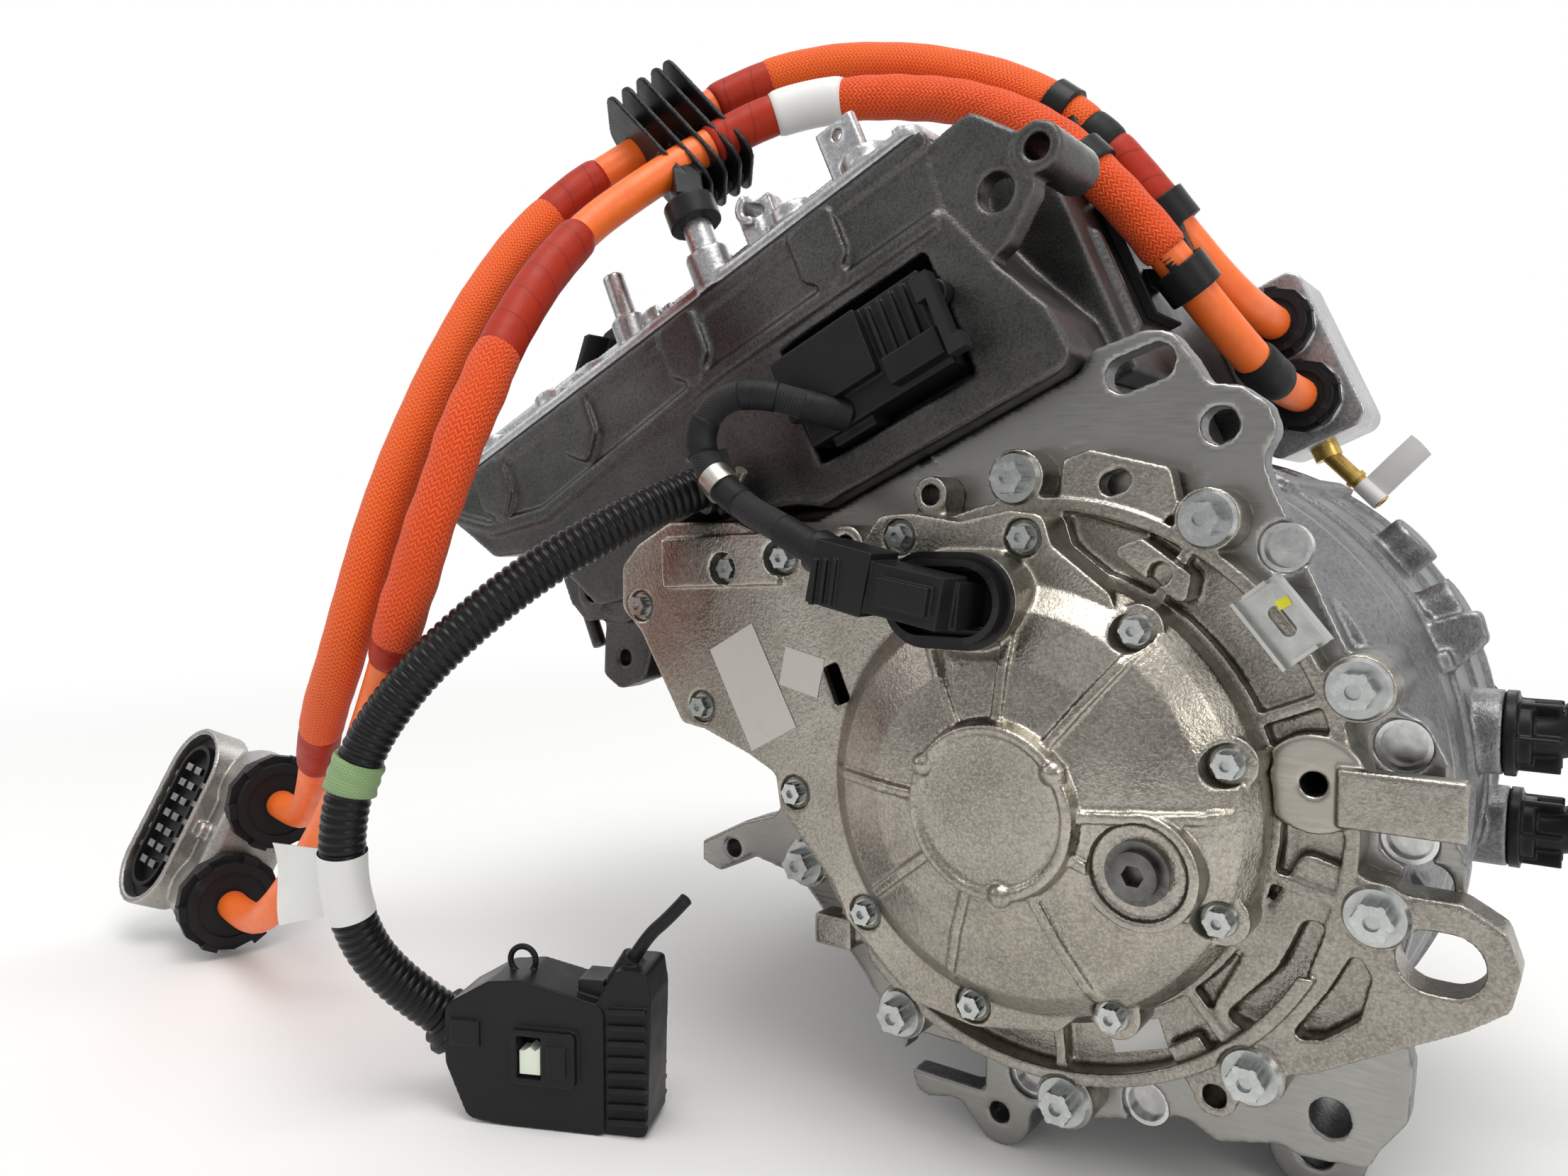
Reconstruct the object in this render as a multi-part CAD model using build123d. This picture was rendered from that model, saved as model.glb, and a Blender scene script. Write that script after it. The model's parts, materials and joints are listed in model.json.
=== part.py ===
"""Electric drive unit: motor, two-step reduction gear, inverter, high-voltage leads and signal harness.
Millimetres. The shaft line runs along Y with the front cover towards -Y, and Z is up as the unit stands.
All is built round the shaft line at the bolting face of the end shield, then moved once to its origin."""
from build123d import *
from math import acos, atan2, cos, degrees, hypot, pi, radians, sin, tan
import os

# Where the origin lies, seen from the shaft line at the bolting face
origin_x = -103.29
origin_y = 155.0
floor_z = -185.0

# Clearances
press_gap = 0.05
run_gap = 0.04
slip_gap = 0.5
seat_gap = 0.3

# Front bolting of the end shield
bolt_count = 10
covered_bolts = (7, 8)
bolt_circle_r = 142.5
bolt_phase = -120.5
bolt_boss_r = 13.5
bolt_washer_r = 12.5
bolt_head_r = 8.0
bolt_head_h = 8.0
bolt_shank_r = 5.0
bolt_length = 42.0
bolt_hole_r = 5.5

# End shield
shield_t = 20.0
shield_r = 133.0
trough_out_r = 127.0
trough_depth = 9.0
shield_rib_t = 5.0
web_t = 9.0
hub_r = 48.0
hub_back = 48.0
resolver_r = 42.0
resolver_y = (34.0, 46.0)
lug_pos = (161.0, -45.0)
lug_slot = (30.0, 24.0)
pad_pos = (116.0, 18.0)
pad_r = 20.0
pad_hole_r = 5.0
tab_x = (140.0, 169.0)
tab_z = (3.0, 26.0)
tab_front = -6.0

# Domed brush cover
cover_r = 101.0
cover_rim = 14.0
dome_front = 47.0
dome_edge = 24.0
disc_r = 35.0
disc_ring_w = 4.0
disc_front = 53.0
cover_boss_r = 11.0
cover_boss_front = 20.0
cover_bolt_r = 3.0
cover_head_r = 7.0
cover_head_h = 6.0
cover_bolt_len = 32.0
rib_angles = (4.0, 52.0, 88.0, 118.0, 178.0, -142.0, -108.0, -62.0, -24.0)
rib_t = 4.5
knob_r = 5.5
arm_front = 24.0
arm_wall = 4.0
knob_angles = (35.0, 152.0, -80.0)
plug_pos = (61.0, -17.0)
level_thread_r = 9.0
exciter_pos = (-22.0, 88.0)
exciter_span = 62.0

# Jacket and front plate
plate_t = 14.0
jacket_nose_r = 147.0
jacket_r = 160.0
jacket_flare = 40.0
jacket_back = 236.0
stator_r = 120.0
water_in_r = 128.0
water_out_r = 151.0
water_y = (62.0, 204.0)
core_cup_r = 10.5
saddle_t = 170.0
tilt_deg = 24.5

# Shapes that the front castings share
pipe_boss_pos = (-99.0, 110.0)
pipe_boss_r = 10.5

# Front plate outline, clockwise from the upper-left end
plate_points = [(-135, 123), (7, 189), (14, 200), (38, 207), (50, 205), (60, 192), (66, 181), (79, 180),
                (91, 171), (95, 160), (89, 148), (94, 134), (103, 115), (111, 96), (124, 68), (139, 49),
                (152, 43), (160, 28), (162, 2), (168, -12), (166, -28), (150, -36), (145, -60),
                (147, -80), (151, -96), (150, -118), (140, -133), (112, -144), (100, -143), (76, -150),
                (59, -142), (51, -151), (42, -151), (6, -161), (-11, -160), (-12, -174), (-22, -184),
                (-34, -184), (-43, -176), (-50, -168), (-73, -174), (-86, -140), (-98, -128),
                (-130, -92), (-150, -73), (-181, -67), (-206, -80), (-219, -76), (-219, -64),
                (-188, -48), (-164, -40), (-158, -20), (-172, 2), (-196, 12), (-226, 60), (-238, 76),
                (-240, 98), (-226, 112), (-205, 123), (-160, 124)]
cup_points = [(98, 111), (144, 33), (147, -4), (44, -143), (-12, -146)]
core_mark_points = [(8, 150), (59, 138), (-70, 146)]
left_lug_pos = (-196.0, -65.0)
foot_lug_pos = (-28.0, -169.0)
foot_lug_r = 16.0
side_lug_pos = (121.0, -125.0)
eye_pos = (107.0, -164.0)
eye_r = 21.0
eye_y = (66.0, 126.0)
rear_foot = ((44.0, 82.0), (196.0, 232.0))
port_r = 15.0
port_face_x = 170.0
ports = ((140.0, 24.0), (186.0, -30.0))

# Small pieces on the front
clip_pos = (103.0, 82.0)
clip_deg = -51.0
clip_size = (33.0, 22.0)
seal_r = 24.0
jacket_bolt_r = 153.0
jacket_bolt_angles = (-70.0, -30.0, 10.0, 45.0, 80.0)
phase_window = ((-52.0, 52.0), (211.0, 225.0), (100.0, 172.0))
phase_s = (-38.0, 0.0, 38.0)

# Motor
stack_y = (74.0, 204.0)
stator_bore_r = 80.0
slot_count = 48
slot_w = 5.2
slot_out_r = 106.0
hairpin_w = 4.6
crown_out = 26.0
air_gap = 0.8
pole_count = 6
pole_half_w = 14.0
pole_root_r = 42.0
shoe_in_r = 62.0
shoe_half_deg = 23.0
coil_w = 8.5
shaft_r = 24.0
front_journal_r = 17.5
front_bearing_r = 36.0
front_bearing_w = 17.0
rear_journal_r = 20.0
rear_bearing_r = 40.0
rear_bearing_w = 18.0
tail_journal_r = 15.0
tail_bearing_r = 31.0
tail_bearing_w = 16.0
slip_core_r = 17.0
slip_ring_r = 21.0

# Gears
stage1_module = 2.5
stage1_teeth = (22, 63)
stage1_y = (266.0, 294.0)
stage2_module = 3.0
stage2_teeth = (22, 67)
stage2_y = (302.0, 336.0)
backlash = 0.22
middle_axis_deg = 153.0
final_axis_deg = -127.4
gear_web_t = 12.0
middle_journal_r = 15.0
final_journal_r = 30.0
final_bearing_r = 45.0
final_bearing_w = 15.0
output_bore_r = 14.0

# Gear case
case_wall = 6.0
case_gap = 7.0
bulkhead_t = 22.0
case_split = 340.0
case_back = 386.0
case_bolt_r = 4.0
foot_y = (296.0, 338.0)
foot_w = 34.0

# Gear case bolt ears: which axis each stands round, and its angle there
ear_angles = ((0, -40), (0, 0), (0, 36), (1, 62), (1, 96), (1, 128), (2, 152), (2, 186), (2, 218),
              (2, 244), (2, 296))
ear_r = 12.0
ear_offset = 9.0
case_bolt_len = 32.0
output_seal_r = 38.0
foot_hole_r = 5.2

# Differential
drum_r = 46.0
drum_room_r = 35.0
hub_bore_r = 23.0

# Slip rings and brushes
slip_ring_y = ((-30.0, -21.0), (-17.0, -8.0))
brush_deg = 104.0

# Inverter, in its own tilted s (along the lid) and t (away from the shaft) directions
inv_wall = 6.0
inv_front = 4.0
inv_back = 268.0
inv_floor = 9.0
parting_t = 309.0
lid_flange_t = 7.0
lid_rise = 24.0
gasket_t = 1.5
lid_screw_r = 3.0
lid_head_r = 5.5
recess_s = (-50.0, 46.0)
recess_t = (190.0, 256.0)
recess_depth = 40.0
inv_block_s = (56.0, 100.0)
rear_top_s = 84.0
inv_step_y = 230.0
inv_step_t = 198.0
clip_post_pos = (-77.0, 14.0)
stub_pos = (-150.0, 20.0)

# Inside the inverter
board_t = 288.0
cap_s = (-222.0, -134.0)
cap_y = (66.0, 216.0)
cap_base_t = 196.0
module_s = (-90.0, 66.0)
module_y = (70.0, 200.0)
phase_s_module = (-62.0, -10.0, 42.0)
header_t = (196.0, 248.0)
header_s = (-40.0, 36.0)
plug_back_y = recess_depth - 16.5
lever_axis = (46.0, 232.0)

# High-voltage leads
lead_r = 10.0
nut_r = 34.5
port_nut_r = 21.5
nut_t = 16.0
port_face_y = 235.0
port_nuts = ((136.0, 202.0), (132.0, 156.0))
port_s = (100.0, 158.0)
port_y = (251.0, 306.0)
port_t = (128.0, 230.0)
vent_s = 126.0
vent_y = 276.0
exit_run = 30.0
entry_run = 42.0

# Free plug of the leads
plug_pitch = 75.0
plug_lean = 27.0
plug_turn = 14.0
plug_xy = (-570.0, -59.0)
plug_rise = 70.8
rim_normal = (0.2, -0.98, 0.0)
rim_face = (-78.0, -46.0, 0.0)
rim_size = (134.0, 67.0)
rim_deep = 26.0

# What holds the leads
hold_gap = 0.4
clip_centre = (-250.0, 38.0, 348.0)
clip_axis = (0.45, 0.66, 0.6)
clip_side = (-0.62, -0.2, 0.76)
arm_foot = ((-300.0, -262.0), (70.0, 108.0))
guide_y = (118.0, 160.0)

# Signal harness
conduit_r = 11.5
branch_r = 7.5
tail_r = 3.6
lv_xy = (-230.0, -90.0)
lv_turn = 25.0
lv_size = (100.0, 34.0, 76.0)
lock_pos = (-8.0, 40.0)
lock_tall = 14.0

# Coolant elbows
elbow_r = 11.0
elbow_bore = 8.0


def post(radius, height):
    """Upright round bar standing on its centre."""
    return Cylinder(radius, height, align=(Align.CENTER, Align.CENTER, Align.MIN))


def rod(radius, front, back, x=0.0, z=0.0):
    """Round bar along Y between two depths."""
    return Pos(x, front, z) * Rot(-90, 0, 0) * post(radius, back - front)


def tube_y(outer, inner, front, back, x=0.0, z=0.0):
    return rod(outer, front, back, x, z) - rod(inner, front - 1, back + 1, x, z)


def block(x, y, z):
    """Box from three (low, high) pairs."""
    size = [side[1] - side[0] for side in (x, y, z)]
    return Pos(x[0], y[0], z[0]) * Box(*size, align=(Align.MIN, Align.MIN, Align.MIN))


def corner_radius(before, corner, after, share):
    """Radius whose tangent length is a share of the shorter side."""
    run_in = corner - before
    run_out = after - corner
    half_turn = radians(run_in.get_angle(run_out)) / 2
    return share * min(run_in.length, run_out.length) / tan(half_turn)


def outline(points, soft=6.0):
    """Closed face in x and z with softened corners."""
    corners = [Vector(*point) for point in points]
    radii = []
    for i, corner in enumerate(corners):
        limit = corner_radius(corners[i - 1], corner, corners[(i + 1) % len(corners)], 0.45)
        radii.append(min(soft, limit))
    return make_face(FilletPolyline(*corners, radius=radii, close=True))


def slab(face, front, back):
    """Face in x and z made solid between two depths, front towards -Y."""
    return extrude(Plane.XZ.offset(-back) * face, amount=back - front)


def spun(points):
    """Profile of (radius, y) points turned about the shaft line."""
    return revolve(make_face(Polyline(*points, close=True)), Axis.Y)


def group(shapes):
    """Separate solids kept together as one node."""
    return Compound([solid for shape in shapes for solid in shape.solids()])


def polar(radius, angle):
    return (radius * cos(radians(angle)), radius * sin(radians(angle)))


def bar_between(a, b, width):
    """Flat face of a straight bar between two points in x and z."""
    angle = degrees(atan2(b[1] - a[1], b[0] - a[0]))
    middle = ((a[0] + b[0]) / 2, (a[1] + b[1]) / 2)
    return Pos(*middle) * Rot(0, 0, angle) * Rectangle(hypot(b[0] - a[0], b[1] - a[1]), width)


def tilted(shape):
    """Turn what was built along the inverter's own directions into place."""
    return Rot(0, -tilt_deg, 0) * shape


bolt_angles = [bolt_phase + i * 360.0 / bolt_count for i in range(bolt_count) if i not in covered_bolts]
bolt_points = [polar(bolt_circle_r, angle) for angle in bolt_angles]
joint_y = shield_t
plate_back = joint_y + plate_t
cover_seat = 0.0
bearing_front = joint_y + 12 - front_bearing_w

cover_bolt_points = [(-61, 115), (1, 115), (51, 77), (89, 26), (87, -37), (44, -87), (-21, -98), (-79, -67),
                     (-121, -14), (-182, 24), (-226, 76), (-163, 98), (-128, 104)]
cover_points = [(40, 92), (14, 112), (10, 125), (-6, 127), (-30, 122), (-55, 126), (-72, 125),
                (-82, 112), (-88, 99), (-110, 99), (-116, 114), (-135, 113), (-160, 122), (-205, 122),
                (-228, 110), (-240, 98), (-240, 74), (-226, 62), (-196, 14), (-180, 12), (-150, 2),
                (-133, -6), (-130, -24), (-98, -56), (-90, -72), (-52, -104), (-20, -108), (20, -100),
                (60, -60), (60, 40)]


def make_cover():
    """Domed front cover with its exciter arm, ribs and centre disc."""
    dome = spun([(0, 0), (cover_r, 0), (cover_r, -cover_rim), (cover_r - 6, -dome_edge), (84, -34),
                 (62, -42), (disc_r + 5, -dome_front), (disc_r + disc_ring_w, -dome_front),
                 (disc_r + 2, -disc_front - 2), (disc_r - 1.5, -disc_front - 2),
                 (disc_r - 3, -disc_front), (0, -disc_front)])
    rib_envelope = spun([(disc_r, -8), (cover_r - 4, -8), (cover_r - 8, -dome_edge - 3), (82, -38),
                         (60, -46), (disc_r, -dome_front - 3.5)])
    ribs = [slab(bar_between(polar(disc_r, a), polar(cover_r - 6, a), rib_t), -dome_front - 6, -8)
            for a in rib_angles]
    adds = [slab(outline(cover_points), -arm_front, cover_seat)] + [rib_envelope & rib for rib in ribs]
    adds += [Pos(polar(disc_r, a)[0], -disc_front + 1, polar(disc_r, a)[1]) * Sphere(knob_r)
             for a in knob_angles]
    adds += [slab(bar_between((-205, 100), (-128, 104), 26), -arm_front - 6, -8)]
    adds += [rod(24, -dome_front + 2, -20, *plug_pos)]
    adds += [slab(oval(exciter_pos, exciter_span, 21), -dome_front, -10)]
    hollow = spun([(0, 1), (cover_r - 14, 1), (cover_r - 14, -cover_rim), (76, -31), (55, -38),
                   (30, -dome_front + 4.5), (0, -dome_front + 4.5)])
    arm_hollow = [(-60, 100), (-104, 102), (-135, 96), (-200, 106), (-222, 96), (-222, 84), (-196, 50),
                  (-186, 40), (-120, 10), (-60, 0)]
    cuts = [hollow, slab(outline(arm_hollow, 4.0), -arm_front + arm_wall + 1, 1)]
    shell = (dome + adds) - cuts
    bosses = [rod(cover_boss_r, -cover_boss_front, cover_seat, x, z) for x, z in cover_bolt_points]
    holes = [rod(cover_head_r + 1.5, -60, -cover_boss_front, x, z) for x, z in cover_bolt_points]
    holes += [rod(cover_bolt_r + slip_gap, -cover_boss_front - 1, 1, x, z) for x, z in cover_bolt_points]
    holes += [rod(19.5, -dome_front - 8, -dome_front + 5, *plug_pos),
              rod(level_thread_r, -60, 1, *plug_pos)]
    holes += [slab(oval(exciter_pos, exciter_span - 6, 15), -dome_front - 1, 0)]
    holes += [slab(bar_between((-100, 52), (-92, 34), 9), -arm_front - 1, 1)]
    holes += [rod(pipe_boss_r + slip_gap, -60, 1, *pipe_boss_pos)]
    return (shell + bosses) - holes


def oval(centre, length, radius, angle=0.0):
    """Round-ended face in x and z."""
    return Pos(*centre) * Rot(0, 0, angle) * SlotOverall(length, 2 * radius)


shield_boss_points = [(-58, 135), (80, -120)]
ear_points = [(6, 128), (8, 150), (20, 154), (56, 145), (60, 128), (48, 116)]
lug_points = [(112, -10), (150, -21), (168, -21), (182, -29), (187, -44), (184, -58), (170, -69),
              (148, -82), (118, -100), (96, -108), (78, -82)]
lug_pocket_points = [[(82, -86), (104, -60), (113, -38), (122, -38), (113, -66), (97, -90)],
                     [(108, -88), (122, -66), (132, -46), (138, -56), (134, -74), (121, -85)]]
lead_block = ((-121, -99), (-6.0, 10.0), (-96, -80))


def make_shield():
    """End shield: bolting ring with bosses, trough, ribs, side lug, tab and bearing hub."""
    arm = slab(outline(cover_points), cover_seat, joint_y)
    lug = slab(outline(lug_points), 1.0, joint_y)
    pad = rod(pad_r, -2.0, joint_y, *pad_pos)
    pad -= [rod(cover_r + slip_gap, -3, 0), rod(cover_boss_r + slip_gap, -3, 0, *cover_bolt_points[3])]
    bosses = [rod(bolt_boss_r, 0, joint_y, x, z) for x, z in bolt_points]
    small_bosses = [rod(9.0, 0, joint_y, x, z) for x, z in shield_boss_points]
    pipe_boss = rod(pipe_boss_r, -12, joint_y, *pipe_boss_pos)
    webs = [slab(bar_between(pipe_boss_pos, (pipe_boss_pos[0], 88), 2 * pipe_boss_r), 2, joint_y),
            slab(bar_between(shield_boss_points[0], (-58, 118), 16), 2, joint_y)]
    ribs = [slab(bar_between(polar(cover_r, a), polar(bolt_circle_r, a), shield_rib_t), 0, joint_y)
            for a in bolt_angles]
    low_rim = tube_y(shield_r, trough_out_r, -4, joint_y) & block((-90, 120), (-5, joint_y), (-140, -60))
    tab = block((shield_r - 8, tab_x[1]), (tab_front, tab_front + 10), tab_z)
    ears = slab(outline(ear_points, 4.0), 2, 14) + (slab(outline([(34, 110), (48, 115), (69, 100),
                                                                  (67, 86)], 3.0), -9,
                                                         joint_y) - rod(cover_r + 1, -10, 1))
    wire_block = block(*lead_block)
    low_bar = slab(bar_between(shield_boss_points[1], (66, -100), 16), 0, joint_y)
    clip_seat = slab(Pos(*clip_pos) * Rot(0, 0, clip_deg) * Rectangle(clip_size[0] - 4,
                                                                      clip_size[1] - 4), 0, joint_y)
    trough = tube_y(trough_out_r, cover_r + 3, -1, trough_depth) - [arm, lug, pad, clip_seat, *bosses,
                                                                    *ribs]
    body = (rod(shield_r, 0, joint_y) - trough) + [arm, lug, pad, pipe_boss, low_rim, tab, ears,
                                                   wire_block, low_bar, *webs]
    body += bosses + small_bosses
    brush_space = rod(cover_r - 14, -1, joint_y - web_t)
    hub = rod(hub_r, 2, hub_back)
    cuts = [rod(bolt_hole_r, -10, joint_y + 1, x, z) for x, z in bolt_points]
    cuts += [rod(bolt_washer_r + slip_gap, -10, 0, x, z) for x, z in bolt_points]
    cuts += [rod(cover_bolt_r + press_gap, -1, joint_y - 2, x, z) for x, z in cover_bolt_points]
    cuts += [rod(5.0, -1, joint_y + 1, x, z) for x, z in shield_boss_points]
    cuts += [rod(pipe_boss_r - 5, -20, 12, *pipe_boss_pos), rod(pad_hole_r, -10, joint_y + 1, *pad_pos)]
    cuts += [slab(Pos(*lug_pos) * SlotOverall(*lug_slot), -1, joint_y + 1)]
    cuts += [slab(outline(points, 4.0), -1, joint_y - 7) for points in lug_pocket_points]
    cuts += [slab(oval((32, 139), 14, 5, 20), 0, 16), rod(5.0, -20, -1, 56, 100),
             rod(4, -20, joint_y + 1, -96, -99)]
    shell = (body - [brush_space, *cuts]) + hub
    return shell - [rod(front_bearing_r + press_gap, bearing_front, hub_back + 1),
                    rod(seal_r, 1, bearing_front + 1), rod(resolver_r + press_gap, resolver_y[0] - 1,
                                                           hub_back + 1)]


def make_main_housing():
    """Motor jacket with its water space, machined front plate, lugs, feet and inverter saddle."""
    nose = Pos(0, plate_back - 2, 0) * Rot(-90, 0, 0) * Cone(jacket_nose_r, jacket_r, jacket_flare,
                                                            align=(Align.CENTER, Align.CENTER, Align.MIN))
    plate = slab(outline(plate_points, 8.0), joint_y, plate_back)
    foot_lug = rod(foot_lug_r, joint_y, joint_y + 32, *foot_lug_pos)
    foot_lug += slab(bar_between(foot_lug_pos, (-20, -130), 26), joint_y, joint_y + 30)
    left_lug = slab(outline([(-219, -76), (-206, -80), (-181, -67), (-140, -70), (-140, -30),
                             (-164, -40), (-188, -48), (-219, -64)], 3.0), joint_y, joint_y + 26)
    side_lug = slab(outline([(102, -108), (104, -146), (136, -142), (146, -118), (134, -104)], 6.0),
                    joint_y, 62)
    eye = rod(eye_r, *eye_y, *eye_pos) + slab(bar_between(eye_pos, (78, -110), 34), *eye_y)
    foot = block(rear_foot[0], rear_foot[1], (floor_z, -130))
    saddle = tilted(block((-128, 86), (joint_y, 226), (118, saddle_t)))
    jacket = rod(jacket_r, plate_back + jacket_flare - 2, jacket_back)
    bands = [tube_y(jacket_r + 2.5, jacket_r - 4, y, y + 6) for y in (96, 158, 218)]
    studs = [slab(bar_between(polar(jacket_r - 6, a), polar(jacket_r + 5, a), 9), 84, jacket_back)
             for a in (60, 22, -40, -75)]
    necks = [Pos(140, y, z) * Rot(0, 90, 0) * Cylinder(port_r + 5, port_face_x - 140,
             align=(Align.CENTER, Align.CENTER, Align.MIN)) for y, z in ports]
    knobs = [Pos(x, y, z) * Rot(0, 90 - a, 0) * Cylinder(13, 20) for x, y, z,
             a in ((145, 118, 80, 30), (123, 150, 108, 42))]
    ear = slab(outline([(138, 40), (166, 70), (162, 84), (140, 76)], 3.0), 92, 104)
    body = plate + [nose, jacket, foot_lug, left_lug, side_lug, eye, foot, saddle, *bands, *studs,
                    *necks, *knobs, ear]
    body += [rod(bolt_boss_r, joint_y, joint_y + 34, x, z) for x, z in bolt_points]
    water = tube_y(water_out_r, water_in_r, *water_y)
    spokes = [slab(bar_between(polar(water_in_r - 2, a), polar(water_out_r + 2, a), 12), *water_y)
              for a in (90, -125, 170)]
    cuts = [rod(stator_r, joint_y - 1, jacket_back + 1), water - spokes]
    cuts += [rod(bolt_shank_r + press_gap, joint_y - 1, bolt_length + 2, x, z) for x, z in bolt_points]
    cuts += [rod(core_cup_r, joint_y - 1, joint_y + 9, x, z) for x, z in cup_points]
    cuts += [tube_y(8, 6.5, joint_y - 1, joint_y + 1.5, x, z) for x, z in core_mark_points]
    cuts += [slab(oval((36, 190), 32, 8, 18), joint_y - 1, plate_back + 1),
             rod(8, joint_y - 1, plate_back + 20, 71, 163)]
    cuts += [rod(9, joint_y - 1, plate_back + 1, 154, -21), rod(5.2, joint_y - 1, 60, *foot_lug_pos)]
    cuts += [rod(5.2, joint_y - 1, 60, *left_lug_pos), rod(8, joint_y - 1, 80, *side_lug_pos)]
    cuts += [rod(8.2, 60, 130, *eye_pos), block((-80, -36), (joint_y - 1, 48), (-160, -140))]
    cuts += [Pos(water_in_r + 6, y, z) * Rot(0, 90, 0) * post(port_r - 4, 50) for y, z in ports]
    cuts += [tilted(block(*phase_window))]
    cuts += [rod(case_bolt_r + press_gap, jacket_back - 24, jacket_back + 1, *polar(jacket_bolt_r, a))
             for a in jacket_bolt_angles]
    return body - cuts


def flange_bolt(head_r, head_h, washer_r, shank_r, length):
    """Six-lobed flange bolt along -Z with its seat at the origin."""
    lobes = Circle(head_r * 0.86) + PolarLocations(head_r * 0.78, 6) * Circle(head_r * 0.22)
    head = Pos(0, 0, head_h * 0.3) * extrude(lobes, amount=head_h)
    flange = Cone(washer_r, washer_r * 0.9, head_h * 0.3, align=(Align.CENTER, Align.CENTER, Align.MIN))
    hollow = Pos(0, 0, head_h * 1.3 - 2) * post(head_r * 0.38, 3)
    return flange + [head, Pos(0, 0, -length) * post(shank_r, length)] - hollow


def front_bolts(bolt, points, seat):
    """The same bolt driven towards +Y at each point of the front."""
    return group([Pos(x, seat, z) * Rot(90, 0, 0) * bolt for x, z in points])


def make_shield_bolts():
    bolt = flange_bolt(bolt_head_r, bolt_head_h, bolt_washer_r, bolt_shank_r, bolt_length)
    return front_bolts(bolt, bolt_points, 0)


def make_cover_bolts():
    bolt = flange_bolt(cover_head_r * 0.8, cover_head_h, cover_head_r, cover_bolt_r, cover_bolt_len)
    return front_bolts(bolt, cover_bolt_points, -cover_boss_front)


def make_level_plug():
    """Threaded plug with a hexagon socket."""
    flange = rod(13.0, -45.5, -42, *plug_pos) + rod(9.6, -50, -45, *plug_pos)
    shank = rod(level_thread_r - press_gap, -42, -24, *plug_pos)
    socket = slab(Pos(*plug_pos) * RegularPolygon(4.6, 6), -51, -44)
    return flange + shank - socket


def make_cup_plugs():
    """Pressed cups that close the core holes of the plate."""
    cups = [rod(core_cup_r - press_gap, joint_y + 3, joint_y + 9, x,
                z) - rod(core_cup_r - 2, joint_y + 2, joint_y + 7, x, z) for x, z in cup_points]
    return group(cups)


def make_channel_clip():
    """Folded sheet channel with two end ears."""
    length, width = clip_size
    base = Box(length, width, 1.6, align=(Align.CENTER, Align.CENTER, Align.MIN))
    sides = [Pos(0, y, 0) * Box(length, 1.6, 7, align=(Align.CENTER, Align.CENTER, Align.MIN))
             for y in (-width / 2 + 0.8, width / 2 - 0.8)]
    ears = [Pos(x, 0, 0) * Box(1.6, width * 0.5, 7, align=(Align.CENTER, Align.CENTER, Align.MIN))
            for x in (-length / 2 + 0.8, length / 2 - 0.8)]
    slot = Pos(0, 0, -1) * extrude(SlotOverall(14, 6), amount=4)
    clip = base + sides + ears - slot
    return Pos(clip_pos[0], 0, clip_pos[1]) * Rot(90, 0, 0) * Rot(0, 0, clip_deg) * clip


stage1_pitch_r = tuple(stage1_module * teeth / 2 for teeth in stage1_teeth)
stage2_pitch_r = tuple(stage2_module * teeth / 2 for teeth in stage2_teeth)
middle_axis = polar(sum(stage1_pitch_r), middle_axis_deg)
final_offset = polar(sum(stage2_pitch_r), final_axis_deg)
final_axis = (middle_axis[0] + final_offset[0], middle_axis[1] + final_offset[1])
case_axes = ((0.0, 0.0), middle_axis, final_axis)
middle_case_r = stage1_pitch_r[1] + stage1_module + case_gap + case_wall
final_case_r = stage2_pitch_r[1] + stage2_module + case_gap + case_wall
motor_case_r = rear_bearing_r + 18.0
case_radii = (motor_case_r, middle_case_r, final_case_r)


def case_hull(shrink):
    """Outline round the three gear axes, drawn in by an amount."""
    rings = [Pos(*axis) * Circle(radius - shrink) for axis, radius in zip(case_axes, case_radii)]
    return make_hull([edge for ring in rings for edge in ring.edges()])


def ear_points_of_case():
    points = []
    for index, angle in ear_angles:
        dx, dz = polar(case_radii[index] + ear_offset, angle)
        points.append((case_axes[index][0] + dx, case_axes[index][1] + dz))
    return points


def axis_rod(radius, front, back, axis):
    return rod(radius, front, back, *axis)


bulkhead_back = jacket_back + bulkhead_t
flange_back = jacket_back + 14.0
rear_bearing_y = (bulkhead_back - rear_bearing_w, bulkhead_back)
middle_bearing_y = (bulkhead_back - tail_bearing_w, bulkhead_back)
final_bearing_y = (bulkhead_back - final_bearing_w, bulkhead_back)
tail_bearing_y = (case_split + 12, case_split + 12 + tail_bearing_w)
final_tail_y = (case_split + 4, case_split + 4 + final_bearing_w)
ear_seat_y = case_split + 10


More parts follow.
